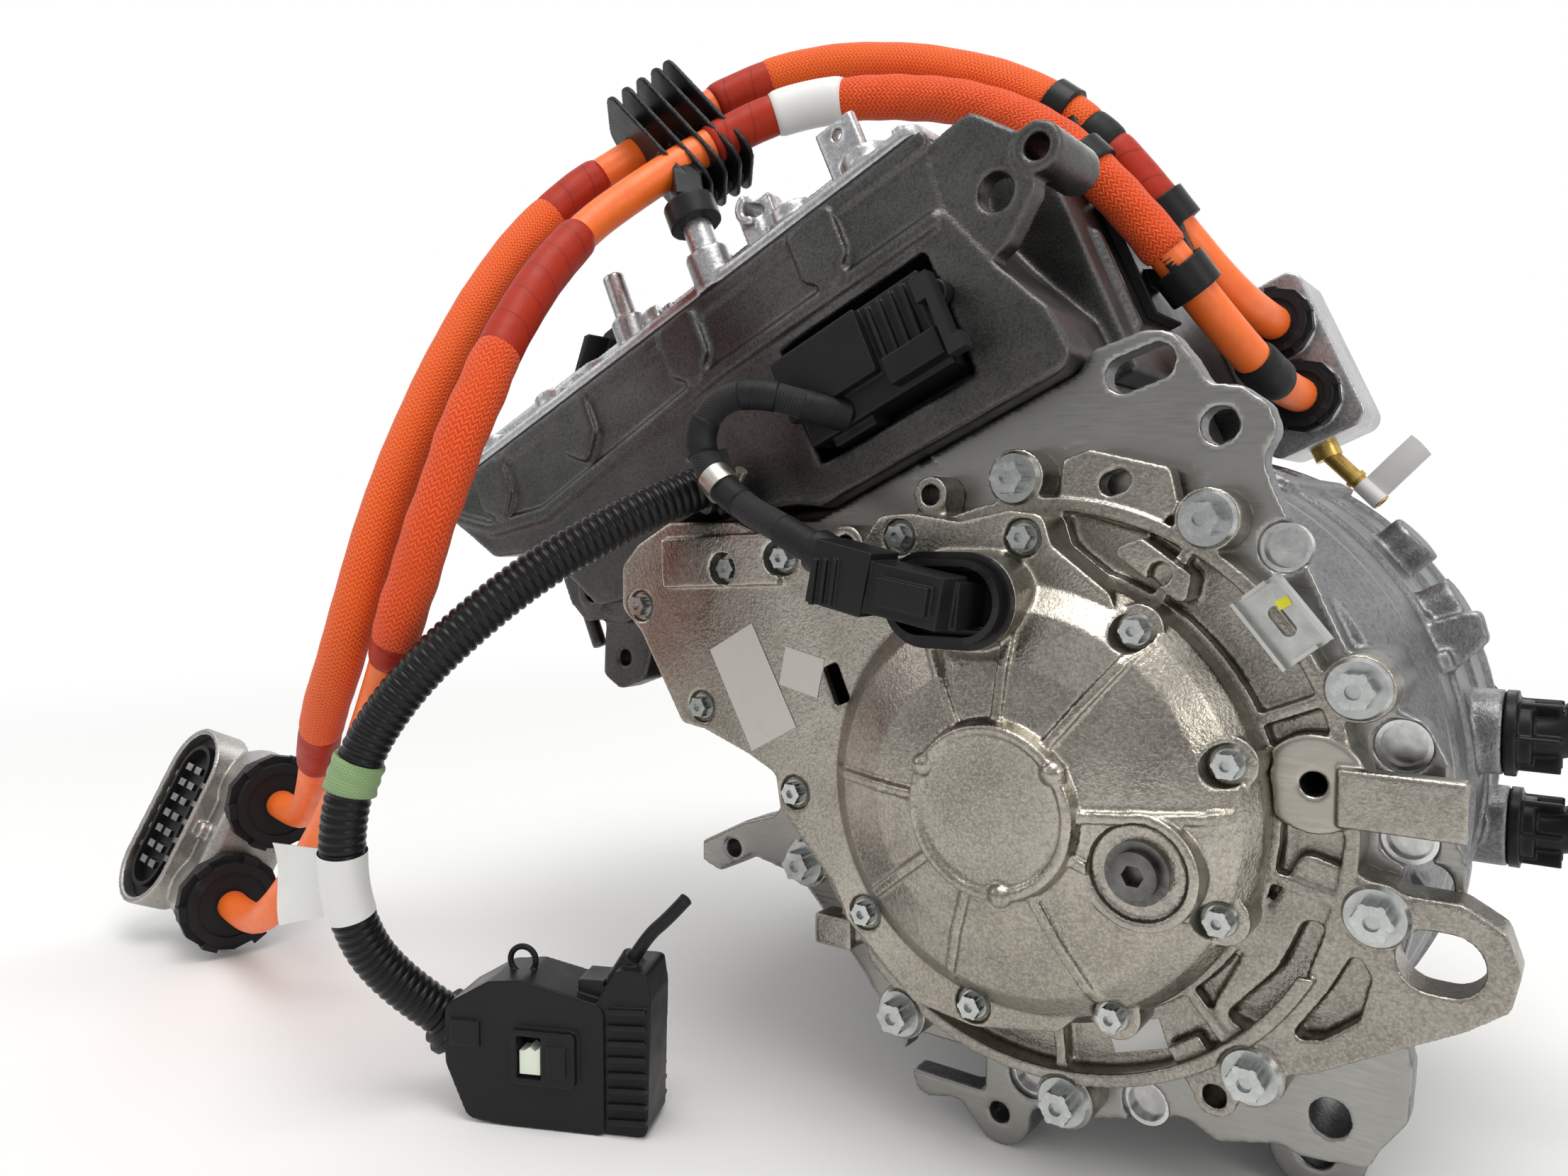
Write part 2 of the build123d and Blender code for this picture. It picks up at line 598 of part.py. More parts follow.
def make_gearbox_housing():
    """Bulkhead and open gear case with its foot and bolt ears."""
    flange = rod(jacket_r, jacket_back, flange_back)
    shell = slab(case_hull(0), jacket_back, case_split)
    ears = [rod(ear_r, case_split - 26, case_split, x, z) for x, z in ear_points_of_case()]
    foot_x = (final_axis[0] - foot_w / 2, final_axis[0] + foot_w / 2)
    foot = block(foot_x, foot_y, (floor_z, final_axis[1] - final_case_r + 12))
    ribs = [rod(case_radii[i] + 3, bulkhead_back + 18, bulkhead_back + 24, *case_axes[i]) for i in (1, 2)]
    fins = slab(case_hull(-3), case_split - 8, case_split)
    body = flange + [shell, foot, fins, *ears, *ribs]
    cuts = [slab(case_hull(case_wall), bulkhead_back, case_split + 1)]
    cuts += [rod(shaft_r + slip_gap, jacket_back - 1, bulkhead_back + 1)]
    cuts += [rod(rear_bearing_r + press_gap, rear_bearing_y[0], bulkhead_back + 1)]
    cuts += [axis_rod(tail_bearing_r + press_gap, middle_bearing_y[0], bulkhead_back + 1, middle_axis)]
    cuts += [axis_rod(final_bearing_r + press_gap, final_bearing_y[0], bulkhead_back + 1, final_axis)]
    cuts += [axis_rod(output_seal_r + press_gap, jacket_back - 1, bulkhead_back, final_axis)]
    cuts += [rod(case_bolt_r + press_gap, ear_seat_y - case_bolt_len, case_split + 1, x, z) for x,
             z in ear_points_of_case()]
    cuts += [rod(case_bolt_r + slip_gap, jacket_back - 1, flange_back + 1, *polar(jacket_bolt_r, a))
             for a in jacket_bolt_angles]
    cuts += [Pos(final_axis[0], sum(foot_y) / 2, floor_z - 1) * post(foot_hole_r, 22)]
    return body - cuts


def make_gearbox_cover():
    """Rear gear case cover with bearing seats, ears and stiffening ribs."""
    shell = slab(case_hull(0), case_split, case_back)
    ears = [rod(ear_r, case_split, ear_seat_y, x, z) for x, z in ear_points_of_case()]
    ribs = [slab(bar_between(final_axis, (final_axis[0] + dx, final_axis[1] + dz), 6), case_back - 2,
                 case_back + 4) for dx, dz in (polar(final_case_r - 8, a) for a in range(100, 340, 40))]
    bosses = [axis_rod(tail_bearing_r + 7, case_back - 2, case_back + 6, axis) for axis in case_axes[:2]]
    bosses += [axis_rod(final_bearing_r + 8, case_back - 2, case_back + 6, final_axis)]
    body = shell + [*ears, *ribs, *bosses]
    room = slab(case_hull(case_wall), case_split - 1, case_back - case_wall)
    seats = [axis_rod(tail_bearing_r + 6, tail_bearing_y[0] + 2, case_back, axis) for axis in case_axes[:2]]
    seats += [axis_rod(final_bearing_r + 7, final_tail_y[0] + 2, case_back, final_axis)]
    cuts = [axis_rod(tail_bearing_r + press_gap, case_split, tail_bearing_y[1], axis)
            for axis in case_axes[:2]]
    cuts += [axis_rod(final_bearing_r + press_gap, case_split, final_tail_y[1], final_axis)]
    cuts += [axis_rod(output_seal_r + press_gap, case_split, case_back + 7, final_axis)]
    cuts += [rod(case_bolt_r + slip_gap, case_split - 1, ear_seat_y + 1, x, z) for x,
             z in ear_points_of_case()]
    return (body - room) + seats - cuts


def make_gearbox_bolts():
    """Bolts of the gear case, driven towards -Y."""
    case_bolt = flange_bolt(6.5, 6, 8.5, case_bolt_r, case_bolt_len)
    flange_bolt_piece = flange_bolt(6.5, 6, 8.5, case_bolt_r, 34)
    places = [(point, ear_seat_y, case_bolt) for point in ear_points_of_case()]
    places += [(polar(jacket_bolt_r, a), flange_back, flange_bolt_piece) for a in jacket_bolt_angles]
    return group([Pos(x, y, z) * Rot(-90, 0, 0) * bolt for (x, z), y, bolt in places])


def make_stator_core():
    ring = Circle(stator_r - press_gap) - Circle(stator_bore_r)
    slot_long = slot_out_r - stator_bore_r + 2
    slots = PolarLocations(slot_out_r - slot_long / 2, slot_count) * Rectangle(slot_long, slot_w)
    return slab(ring - slots, *stack_y)


def make_stator_windings():
    """Slot bars joined by a crown at each end of the stack."""
    low, high = stack_y[0] - crown_out, stack_y[1] + crown_out
    bar_long = slot_out_r - stator_bore_r - 3
    bars = PolarLocations(slot_out_r - 0.4 - bar_long / 2, slot_count) * Rectangle(bar_long, hairpin_w)
    crowns = [tube_y(slot_out_r - 1.5, stator_bore_r + 4, low + 4, stack_y[0] - 3),
              tube_y(slot_out_r - 1.5, stator_bore_r + 4, stack_y[1] + 3, high - 4)]
    return slab(Sketch() + bars, low, high) + crowns


rotor_r = stator_bore_r - air_gap
coil_top_r = (shoe_in_r ** 2 - (pole_half_w + seat_gap + coil_w) ** 2) ** 0.5 - seat_gap


def make_rotor_core():
    """Salient poles with their shoes on one hub."""
    shoe_face = Circle(rotor_r) - Circle(shoe_in_r)
    wedge_r = rotor_r * 1.4
    wedge = make_face(Polyline((0, 0), polar(wedge_r, -shoe_half_deg), polar(wedge_r, shoe_half_deg),
                               close=True))
    shoe = shoe_face & wedge
    neck = Pos((pole_root_r + shoe_in_r) / 2, 0) * Rectangle(shoe_in_r - pole_root_r + 6, 2 * pole_half_w)
    poles = [Rot(0, 0, i * 360 / pole_count) * (shoe + neck) for i in range(pole_count)]
    return slab(Circle(pole_root_r) + poles - Circle(shaft_r + press_gap), *stack_y)


def make_rotor_windings():
    """Field coil round each pole."""
    inner = pole_half_w + seat_gap
    outer = inner + coil_w
    low, high = stack_y[0] - seat_gap, stack_y[1] + seat_gap
    ring = block((pole_root_r + 2, coil_top_r), (low - coil_w - 2, high + coil_w + 2), (-outer, outer))
    ring -= block((pole_root_r, coil_top_r + 1), (low, high), (-inner, inner))
    return group([Rot(0, -i * 360 / pole_count, 0) * ring for i in range(pole_count)])


def involute(angle):
    return tan(angle) - angle


def gear_face(module, teeth, tooth_at):
    """Toothed face about the origin with a tooth centred on one angle in degrees."""
    pressure = radians(20)
    pitch_r = module * teeth / 2
    base_r = pitch_r * cos(pressure)
    half_at_base = pi / 2 / teeth - backlash / (4 * pitch_r) + involute(pressure)
    flank = []
    for radius in (pitch_r - 1.25 * module, pitch_r - 0.6 * module, pitch_r, pitch_r + 0.5 * module,
                   pitch_r + module):
        roll = acos(base_r / max(radius, base_r))
        flank.append((radius, degrees(half_at_base - involute(roll))))
    points = []
    for i in range(teeth):
        middle = tooth_at + i * 360 / teeth
        points += [polar(radius, middle - half) for radius, half in flank]
        points += [polar(radius, middle + half) for radius, half in reversed(flank)]
    return make_face(Polyline(*points, close=True))


def make_rotor_shaft():
    """Hollow-nosed rotor shaft with the first pinion cut on it."""
    pinion_back = stage1_y[1]
    body = spun([(0, -34), (slip_core_r, -34), (slip_core_r, bearing_front - 2),
                 (front_journal_r, bearing_front - 2), (front_journal_r, resolver_y[0] - 1),
                 (shaft_r, resolver_y[0] - 1), (shaft_r, rear_bearing_y[0] - 1),
                 (rear_journal_r, rear_bearing_y[0] - 1), (rear_journal_r, pinion_back + 4),
                 (18, pinion_back + 4), (18, tail_bearing_y[0] - 1),
                 (tail_journal_r, tail_bearing_y[0] - 1), (tail_journal_r, tail_bearing_y[1]),
                 (0, tail_bearing_y[1])])
    pinion = slab(gear_face(stage1_module, stage1_teeth[0], middle_axis_deg), *stage1_y)
    return body + pinion - rod(7, -35, 60)


def make_slip_rings():
    return group([tube_y(slip_ring_r, slip_core_r + press_gap, *span) for span in slip_ring_y])


def brush_block(half_x, margin, low, high):
    """One block per slip ring, standing out from the shaft line along the brush direction."""
    spans = [(span[0] + 1 - margin, span[1] - 1 + margin) for span in slip_ring_y]
    return [Rot(0, 90 - brush_deg, 0) * block((-half_x - margin, half_x + margin), span, (low, high))
            for span in spans]


def make_brushes():
    return group(brush_block(4, 0, slip_ring_r + 0.3, slip_ring_r + 22))


def make_brush_holder():
    """Holder with one channel per brush and a foot on the shield web."""
    web_face = joint_y - web_t
    turn = Rot(0, 90 - brush_deg, 0)
    body = turn * (block((-13, 13), (-31.5, -4), (28, 68)) + block((-17, 17), (-8, web_face), (52, 72)))
    return body - brush_block(4, 0.3, 20, 60)


def bearing(outer, inner, span, axis=(0.0, 0.0)):
    """Sealed ball bearing as one ring with its seal grooves."""
    ring = tube_y(outer, inner + run_gap, *span, *axis)
    third = (outer - inner) / 3
    grooves = [tube_y(outer - third + 1, inner + third - 1, span[0] - 1, span[0] + 0.8, *axis),
               tube_y(outer - third + 1, inner + third - 1, span[1] - 0.8, span[1] + 1, *axis)]
    return ring - grooves


def make_rotor_bearings():
    return group([bearing(front_bearing_r, front_journal_r, (bearing_front,
                                                             bearing_front + front_bearing_w)),
                  bearing(rear_bearing_r, rear_journal_r, rear_bearing_y),
                  bearing(tail_bearing_r, tail_journal_r, tail_bearing_y)])


def make_resolver():
    """Sensor ring with its coil teeth."""
    ring = Circle(resolver_r) - Circle(resolver_r - 5)
    teeth = PolarLocations(resolver_r - 8, 16) * Rectangle(8, 6)
    return slab(ring + teeth - Circle(shaft_r + 6), *resolver_y)


def make_sensor_wheel():
    """Lobed wheel that the sensor ring reads."""
    return slab(Ellipse(shaft_r + 5.2, shaft_r + 3.6) - Circle(shaft_r + press_gap), resolver_y[0] + 1,
                resolver_y[1] - 1)


def make_shaft_seals():
    """Lip seals at the rotor nose and at both outputs."""
    nose = tube_y(seal_r - press_gap, slip_core_r + run_gap, 3, 11)
    front = tube_y(output_seal_r, final_journal_r + run_gap, jacket_back, final_bearing_y[0] - 0.5,
                   *final_axis)
    back = tube_y(output_seal_r, final_journal_r + run_gap, final_tail_y[1] + 2, case_back, *final_axis)
    return group([nose, front, back])


def make_intermediate_shaft():
    """Middle shaft with its pinion and the large first-step gear."""
    x, z = middle_axis
    body = Pos(x, 0, z) * spun([(0, middle_bearing_y[0] + 0.5), (middle_journal_r,
                                                                 middle_bearing_y[0] + 0.5),
                                (middle_journal_r, bulkhead_back + 1), (26, bulkhead_back + 1),
                                (26, tail_bearing_y[0] - 1), (middle_journal_r, tail_bearing_y[0] - 1),
                                (middle_journal_r, tail_bearing_y[1]), (0, tail_bearing_y[1])])
    wheel_tooth = middle_axis_deg + 180 + 180 / stage1_teeth[1]
    wheel = Pos(x, 0, z) * slab(gear_face(stage1_module, stage1_teeth[1], wheel_tooth), *stage1_y)
    face_cut = (stage1_y[1] - stage1_y[0] - gear_web_t) / 2
    rim_r = stage1_pitch_r[1] - 10
    dishes = [tube_y(rim_r, 34, stage1_y[0] - 1, stage1_y[0] + face_cut, x, z),
              tube_y(rim_r, 34, stage1_y[1] - face_cut, stage1_y[1] + 1, x, z)]
    pinion = Pos(x, 0, z) * slab(gear_face(stage2_module, stage2_teeth[0], final_axis_deg), *stage2_y)
    return (wheel - dishes) + [body, pinion]


def make_intermediate_bearings():
    return group([bearing(tail_bearing_r, middle_journal_r, span, middle_axis)
                              for span in (middle_bearing_y, tail_bearing_y)])


drum_y = (bulkhead_back + 4, stage2_y[1])
drum_room_y = (drum_y[0] + 8, drum_y[1] - 8)


def make_final_gear():
    x, z = final_axis
    tooth = final_axis_deg + 180 + 180 / stage2_teeth[1]
    wheel = Pos(x, 0, z) * slab(gear_face(stage2_module, stage2_teeth[1], tooth), *stage2_y)
    face_cut = (stage2_y[1] - stage2_y[0] - gear_web_t) / 2
    rim_r = stage2_pitch_r[1] - 12
    dishes = [tube_y(rim_r, 64, stage2_y[1] - face_cut, stage2_y[1] + 1, x, z),
              tube_y(rim_r, 64, stage2_y[0] - 1, stage2_y[0] + face_cut, x, z)]
    return wheel - dishes - rod(drum_r + press_gap, stage2_y[0] - 1, stage2_y[1] + 1, x, z)


def make_differential_case():
    """Hollow drum with a hub at each end, open at two windows."""
    drum = axis_rod(drum_r, *drum_y, final_axis) + axis_rod(62, stage2_y[0] - 6, stage2_y[0], final_axis)
    hubs = axis_rod(final_journal_r, final_bearing_y[0] - 6, case_back - 2, final_axis)
    window = Pos(final_axis[0], sum(drum_room_y) / 2 - 12, final_axis[1]) * Rot(0, 30, 0) * Box(120, 18, 30)
    cuts = [axis_rod(hub_bore_r + press_gap, jacket_back - 1, case_back, final_axis),
            axis_rod(drum_room_r, *drum_room_y, final_axis), window]
    return drum + hubs - cuts


def make_differential_gears():
    """Splined side gears, planet gears and their cross pin."""
    x, z = final_axis
    spline = Circle(output_bore_r) + PolarLocations(output_bore_r, 24) * Rectangle(2.4, 1.8)
    low, high = drum_room_y
    middle = (low + high) / 2
    front = axis_rod(hub_bore_r, final_bearing_y[0] - 4, low + 1, final_axis) + axis_rod(drum_room_r - 2,
                                                                                         low + 0.4,
                                                                                         low + 11,
                                                                                         final_axis)
    back = axis_rod(hub_bore_r, high - 1, case_back - 8, final_axis) + axis_rod(drum_room_r - 2,
                                                                                high - 11, high - 0.4,
                                                                                final_axis)
    bore = Pos(x, 0, z) * slab(spline, jacket_back - 2, case_back + 2)
    pin = Pos(x, middle, z) * Rot(0, 90, 0) * Cylinder(8, 2 * drum_room_r - 2)
    planets = [Pos(x + side * 20.5, middle, z) * Rot(0, side * 90,
                                                     0) * (Cone(12, 17, 13) - Cylinder(8 + run_gap, 20))
               for side in (-1, 1)]
    return group([front - bore, back - bore, pin, *planets])


def make_output_bearings():
    return group([bearing(final_bearing_r, final_journal_r, span, final_axis)
                              for span in (final_bearing_y, final_tail_y)])


def slab_up(points, low, high, soft=6.0):
    """Outline in the inverter's s and y made solid between two heights t."""
    corners = [Vector(*point) for point in points]
    radii = [min(soft, corner_radius(corners[i - 1], corner, corners[(i + 1) % len(corners)], 0.45))
             for i, corner in enumerate(corners)]
    return Pos(0, 0, low) * extrude(make_face(FilletPolyline(*corners, radius=radii, close=True)),
                                    amount=high - low)


def upright(radius, low, high, s, y):
    return Pos(s, y, low) * post(radius, high - low)


inv_points = [(-337, parting_t), (-337, 290), (-308, 250), (-262, 234), (-234, 186), (-190, 176),
              (-140, 171), (-128, saddle_t), (92, saddle_t), (90, 200), (72, 240), (62, 268),
              (66, parting_t)]
inv_room = [(-331, parting_t + 1), (-331, 296), (-303, 257), (-258, 241), (-229, 193), (-187, 183),
            (-138, 179), (84, 179), (84, 199), (66, 238), (56, 268), (60, parting_t + 1)]
arm_relief = [(-60, 150), (-60, 170), (-72, 177), (-98, 186), (-128, 203), (-166, 203), (-184, 196),
              (-194, 184), (-194, 150)]
lid_points = [(-337, inv_front), (66, inv_front), (66, 60), (rear_top_s, 66), (rear_top_s, inv_back),
              (-337, inv_back)]
lid_screw_points = [(-326, 14), (-262, 13), (-196, 13), (-112, 13), (-34, 13), (54, 14), (74, 76),
                    (74, 166), (74, 258), (20, 258), (-64, 258), (-150, 258), (-236, 258), (-326, 258),
                    (-327, 178), (-327, 96)]
board_points = [(-296, 40), (-296, 236), (-20, 236), (-20, 60), (-60, 60), (-60, 40)]
board_posts = [(-286, 50), (-286, 226), (-160, 50), (-160, 226), (-30, 226), (-30, 64.5)]
floor_t = saddle_t + inv_floor


def make_inverter_housing():
    """Open-topped inverter casting with its connector pocket, lugs, legs and screw bosses."""
    body = slab(outline(inv_points, 10.0), inv_front, inv_back)
    rear_points = [(inv_block_s[0], saddle_t), (inv_block_s[1], saddle_t), (inv_block_s[1], 280),
                   (rear_top_s, parting_t), (inv_block_s[0], parting_t)]
    rear = slab(outline(rear_points, 4.0), 64, inv_back)
    port_pad = block(inv_block_s, (236, 300), (150, 246))
    leg = slab(outline([(-284, 246), (-284, 206), (-276, 190), (-262, 186), (-244, 176), (-228, 176),
                        (-222, 236)], 5.0), 34, 74)
    leg += rod(13, 30, 50, -259, 204)
    foot = slab(outline([(-286, 156), (-276, 142), (-252, 140), (-236, 158), (-232, 190), (-262, 200)],
                        5.0), 44, 64)
    ear = slab(outline([(58, 302), (58, 232), (84, 236), (106, 252), (112, 276), (92, 304)], 8.0),
               inv_front + 2, 20)
    knob = rod(12, inv_front, 54, 114, 268)
    ridge = [slab(outline([(s, parting_t - 2), (s, parting_t - 30), (s + 16, parting_t - 44),
                           (s + 30, parting_t - 30), (s + 30, parting_t - 2)], 6.0), inv_front - 5,
                  inv_front + 6) for s in (-300, -216, -120, -20)]
    long_rib = slab(outline([(-332, 286), (-300, 262), (-250, 250), (-90, 262), (60, 262), (60, 270),
                             (-90, 270), (-250, 259), (-300, 271), (-330, 292)], 3.0), inv_front - 3,
                    inv_front + 4)
    flank = slab(outline([(88, 176), (104, 196), (104, 250), (96, 262), (90, 250)], 3.0), 84, 92)
    bosses = [upright(9, parting_t - 26, parting_t, s, y) for s, y in lid_screw_points]
    lip = slab(outline([(-341, parting_t), (-341, parting_t - 9), (68, parting_t - 9), (70, parting_t)],
                       2.0), inv_front - 2, inv_front + 5)
    rooms = [slab(outline(inv_room, 8.0), 44, inv_step_y - inv_wall)]
    wide_room = slab(outline(inv_room, 8.0), inv_front + inv_wall, inv_back - inv_wall)
    wide_room -= block((-340, 60), (0, 44), (150, 210))
    wide_room -= block((-340, 100), (inv_step_y - inv_wall, inv_back), (150, inv_step_t + inv_wall))
    rooms += [wide_room]
    rooms += [block((50, inv_block_s[1] - inv_wall), (70, inv_back - inv_wall),
                    (inv_step_t + inv_wall, 274)), block((50, rear_top_s - inv_wall),
                                                         (70, inv_back - inv_wall), (270, parting_t + 1))]
    pocket_shell = block((recess_s[0] - 6, recess_s[1] + 6), (inv_front, recess_depth + 6),
                         (recess_t[0] - 12, recess_t[1] + 6))
    solid = body + [rear, port_pad, leg, foot, ear, knob, flank, long_rib, lip, *ridge]
    solid = solid - rooms - slab(outline(arm_relief, 4.0), inv_front - 8, 36)
    solid = solid - block((-340, inv_block_s[0]), (inv_step_y, inv_back + 1), (140, inv_step_t))
    inner = [upright(5, floor_t - 4, board_t, s, y) for s, y in board_posts]
    inner += [block((cap_s[0] + 8, cap_s[1] - 4), (cap_y[0] + 10, cap_y[1] - 10),
                    (floor_t - 4, cap_base_t))]
    inner += [pocket_shell, *bosses]
    cuts = [block(recess_s, (inv_front - 1, recess_depth), recess_t)]
    cuts += [block((phase_window[0][0], phase_window[0][1]), phase_window[1], (saddle_t - 1, floor_t + 1))]
    cuts += [rod(6, 20, 80, -259, 204), rod(5, 30, 70, -263, 159), rod(9, 0, 30, 88, 262),
             rod(6, 0, 60, 114, 268)]
    cuts += [upright(lid_screw_r + press_gap, parting_t - 18, parting_t + 1, s, y) for s,
             y in lid_screw_points]
    return tilted((solid + inner) - cuts)


def make_lid_gasket():
    ring = slab_up(lid_points, parting_t, parting_t + gasket_t, 8.0)
    inside = [(-326, 20), (52, 20), (52, 72), (66, 84), (66, 250), (-318, 250)]
    holes = [upright(lid_screw_r + slip_gap, parting_t - 1, parting_t + 4, s, y) for s,
             y in lid_screw_points]
    return tilted(ring - [slab_up(inside, parting_t - 1, parting_t + 4, 6.0), *holes])


lid_low = parting_t + gasket_t
lid_flange_t_top = lid_low + lid_flange_t
lid_top = lid_low + lid_rise


def make_inverter_lid():
    """Cast lid: flange, raised tray with pads and ribs, breather stub, clip post and lugs."""
    flange = slab_up(lid_points, lid_low, lid_flange_t_top, 8.0)
    tray = slab_up([(-318, 24), (-196, 24), (-186, 30), (44, 30), (50, 66), (66, 86), (66, 248),
                    (-318, 248)], lid_low, lid_top, 14.0)
    crown = slab_up([(-300, 36), (-150, 36), (-150, 60), (-60, 60), (-60, 110), (20, 110), (20, 190),
                     (-300, 190)], lid_low, lid_top + 5, 16.0)
    towers = [upright(13, lid_low, lid_top - 8, s, 19) for s in (-290, -226, -124, -20, 30)]
    ribs = [slab_up([(s, 60), (s + 5, 60), (s + 5, 236), (s, 236)], lid_low, lid_top + 4, 2.0)
            for s in (-270, -200, -120, -30, 48)]
    stub = upright(11, lid_low, lid_top + 2, *stub_pos) + upright(7, lid_low, lid_top + 32, *stub_pos)
    post_leg = upright(13, lid_low, lid_top, *clip_post_pos) + upright(8.5, lid_low, lid_top + 28,
                                                                       *clip_post_pos)
    lug = block((-52, -30), (16, 34), (lid_low, lid_top + 12))
    lug += Pos(-41, 14, lid_top + 6) * Rot(-90, 0, 0) * Cylinder(9, 6)
    tab = slab_up([(10, 14), (34, 14), (34, 22), (10, 22)], lid_low, lid_top + 16, 2.0)
    arc = upright(26, lid_low, lid_flange_t_top + 4, -308, 40)
    body = flange + [tray, crown, stub, post_leg, lug, tab, arc, *towers, *ribs]
    cuts = [slab_up([(-310, 32), (36, 38), (42, 76), (58, 94), (58, 240), (-310, 240)], lid_low - 1,
                    lid_top - 5, 8.0)]
    cuts += [upright(lid_screw_r + slip_gap, lid_low - 1, lid_flange_t_top + 30, s, y) for s,
             y in lid_screw_points]
    cuts += [upright(lid_head_r + 1.5, lid_flange_t_top, lid_top + 20, s, y) for s, y in lid_screw_points]
    cuts += [Pos(-41, 24, lid_top + 6) * Rot(-90, 0, 0) * Cylinder(4, 40),
             upright(3.5, lid_top + 12, lid_top + 40, *stub_pos)]
    cuts += [Pos(22, 18, lid_top + 9) * Rot(-90, 0, 0) * Cylinder(3, 20)]
    return tilted(body - cuts)


def make_lid_screws():
    screw = flange_bolt(4.2, 4, lid_head_r, lid_screw_r, 24)
    return tilted(group([Pos(s, y, lid_flange_t_top) * screw for s, y in lid_screw_points]))


def make_control_board():
    """Circuit board with its larger components and two board connectors."""
    board = slab_up(board_points, board_t, board_t + 1.8, 3.0)
    chips = [Pos(s, y, board_t + 1.8) * Box(a, b, h, align=(Align.CENTER, Align.CENTER, Align.MIN))
             for s, y, a, b, h in ((-240, 130, 28, 28, 3), (-180, 180, 18, 18, 3),
                                   (-120, 110, 34, 22, 5), (-80, 200, 20, 14, 8), (-250, 200, 22, 12, 9),
                                   (-200, 90, 12, 30, 7), (-52, 130, 16, 44, 10))]
    return tilted(board + chips)


def make_power_module():
    """Base plate with three half-bridge blocks and their terminals."""
    base = block(module_s, module_y, (floor_t, floor_t + 8))
    blocks = [block((s - 23, s + 23), (module_y[0] + 12, module_y[1] - 12), (floor_t + 8, floor_t + 20))
              for s in phase_s_module]
    pads = [block((s - 9, s + 9), (module_y[1] - 18, module_y[1] - 2), (floor_t + 8, floor_t + 22))
            for s in phase_s_module]
    return tilted(base + [*blocks, *pads])


def make_dc_link_capacitor():
    """Potted capacitor block with its two bus tabs."""
    body = block(cap_s, cap_y, (cap_base_t, cap_base_t + 58))
    tabs = [block((cap_s[1] - 1, cap_s[1] + 22), (y, y + 18), (cap_base_t + 30, cap_base_t + 33))
            for y in (96, 160)]
    return tilted(body + tabs)


def make_phase_busbars():
    """Three flat bars from the rear winding crown up through the window to the power module."""
    bars = []
    for s, terminal in zip(phase_s, phase_s_module):
        low = (slot_out_r ** 2 - max(0, abs(s) - 8) ** 2) ** 0.5 + seat_gap
        top = floor_t + 22
        upright_bar = block((s - 8, s + 8), (216, 219), (low, top + 3))
        cross = block((min(s, terminal) - 8, max(s, terminal) + 8), (module_y[1] - 14, 219), (top, top + 3))
        bars.append(tilted(upright_bar + cross))
    return group(bars)


def make_inverter_header():
    """Signal header on the back wall of the pocket."""
    shroud = block(header_s, (recess_depth - 16, recess_depth), header_t)
    shroud -= block((header_s[0] + 4, header_s[1] - 4), (recess_depth - 17, recess_depth - 4),
                    (header_t[0] + 4, header_t[1] - 4))
    pins = [block((s - 0.8, s + 0.8), (recess_depth - 13, recess_depth - 3), (t - 0.8, t + 0.8))
            for s in range(-30, 31, 10) for t in (208, 222, 236)]
    return tilted(shroud + pins)


def make_inverter_plug():
    """Large signal plug with ribs, a latch ridge and the cable exit snout."""
    body = block((-46, 42), (-4, plug_back_y), (header_t[0] + 1, header_t[1] - 1))
    nose = block((header_s[0] + 4.4, header_s[1] - 4.4), (plug_back_y, recess_depth - 13.6),
                 (header_t[0] + 4.4, header_t[1] - 4.4))
    hood = block((-50, 6), (-10, -2), (212, 246)) + block((12, 44), (-14, 0), (200, 214))
    ribs = [block((s, s + 2.5), (-7, 0), (216, 244)) for s in range(10, 40, 7)]
    snout = block((-36, -10), (0.5, 16), (192, 214))
    body += [nose, hood, snout, rod(6.5, -4, inv_front - 0.5, *lever_axis), *ribs]
    hinge = Pos(lever_axis[0], -8, lever_axis[1]) * Rot(-90, 0, 0) * Cylinder(3.2 + press_gap, 40)
    return tilted(body - hinge) - cord_tube(branch_route, branch_r)


def make_plug_lever():
    """Locking lever that folds over the plug."""
    s, t = lever_axis
    pin = rod(3.0, -14, 3, s, t)
    arm = block((s - 4, s + 6), (-18, -9.5), (t - 6, t + 6)) + block((s + 1, s + 6), (-18, -9.5),
                                                                     (t - 34, t + 4))
    return tilted(pin + [arm, block((s + 1, s + 10), (-18, -9.5), (t - 36, t - 28))])


def on_tilt(s, y, t):
    """Point given along the inverter's directions, in the common frame."""
    turn = radians(tilt_deg)
    return (s * cos(turn) - t * sin(turn), y, s * sin(turn) + t * cos(turn))


def aimed(origin, direction, side=(0, 0, 1)):
    """Plane at a point with its Z along a direction."""
    return Plane(origin=origin, z_dir=direction, x_dir=side)


def make_hv_port_housing():
    """Cast connection box of the two leads at the inverter's rear flank."""
    box = block(port_s, port_y, port_t)
    box = fillet(box.edges().filter_by(Axis.Y), 9.0)
    collars = [rod(port_nut_r - 2, port_y[0] - 4, port_y[0] + 1, *place) for place in port_nuts]
    ribs = [block((s, s + 4), (port_y[0] + 10, port_y[1] + 3), (port_t[0] + 10, port_t[1] - 10))
            for s in (112, 128, 144)]
    flange = block((port_s[0], port_s[0] + 6), (port_y[0] + 2, port_y[1] - 4),
                   (port_t[0] + 24, port_t[1] + 14))
    screws = [Pos(port_s[0] + 6, y, port_t[1] + 6) * Rot(0, 90, 0) * post(4.5, 4)
              for y in (port_y[0] + 14, port_y[1] - 16)]
    room = block((port_s[0] + 8, port_s[1] - 8), (port_y[0] + 6, port_y[1] - 8),
                 (port_t[0] + 8, port_t[1] - 8))
    return tilted(box + [*collars, *ribs, flange, *screws] - room)


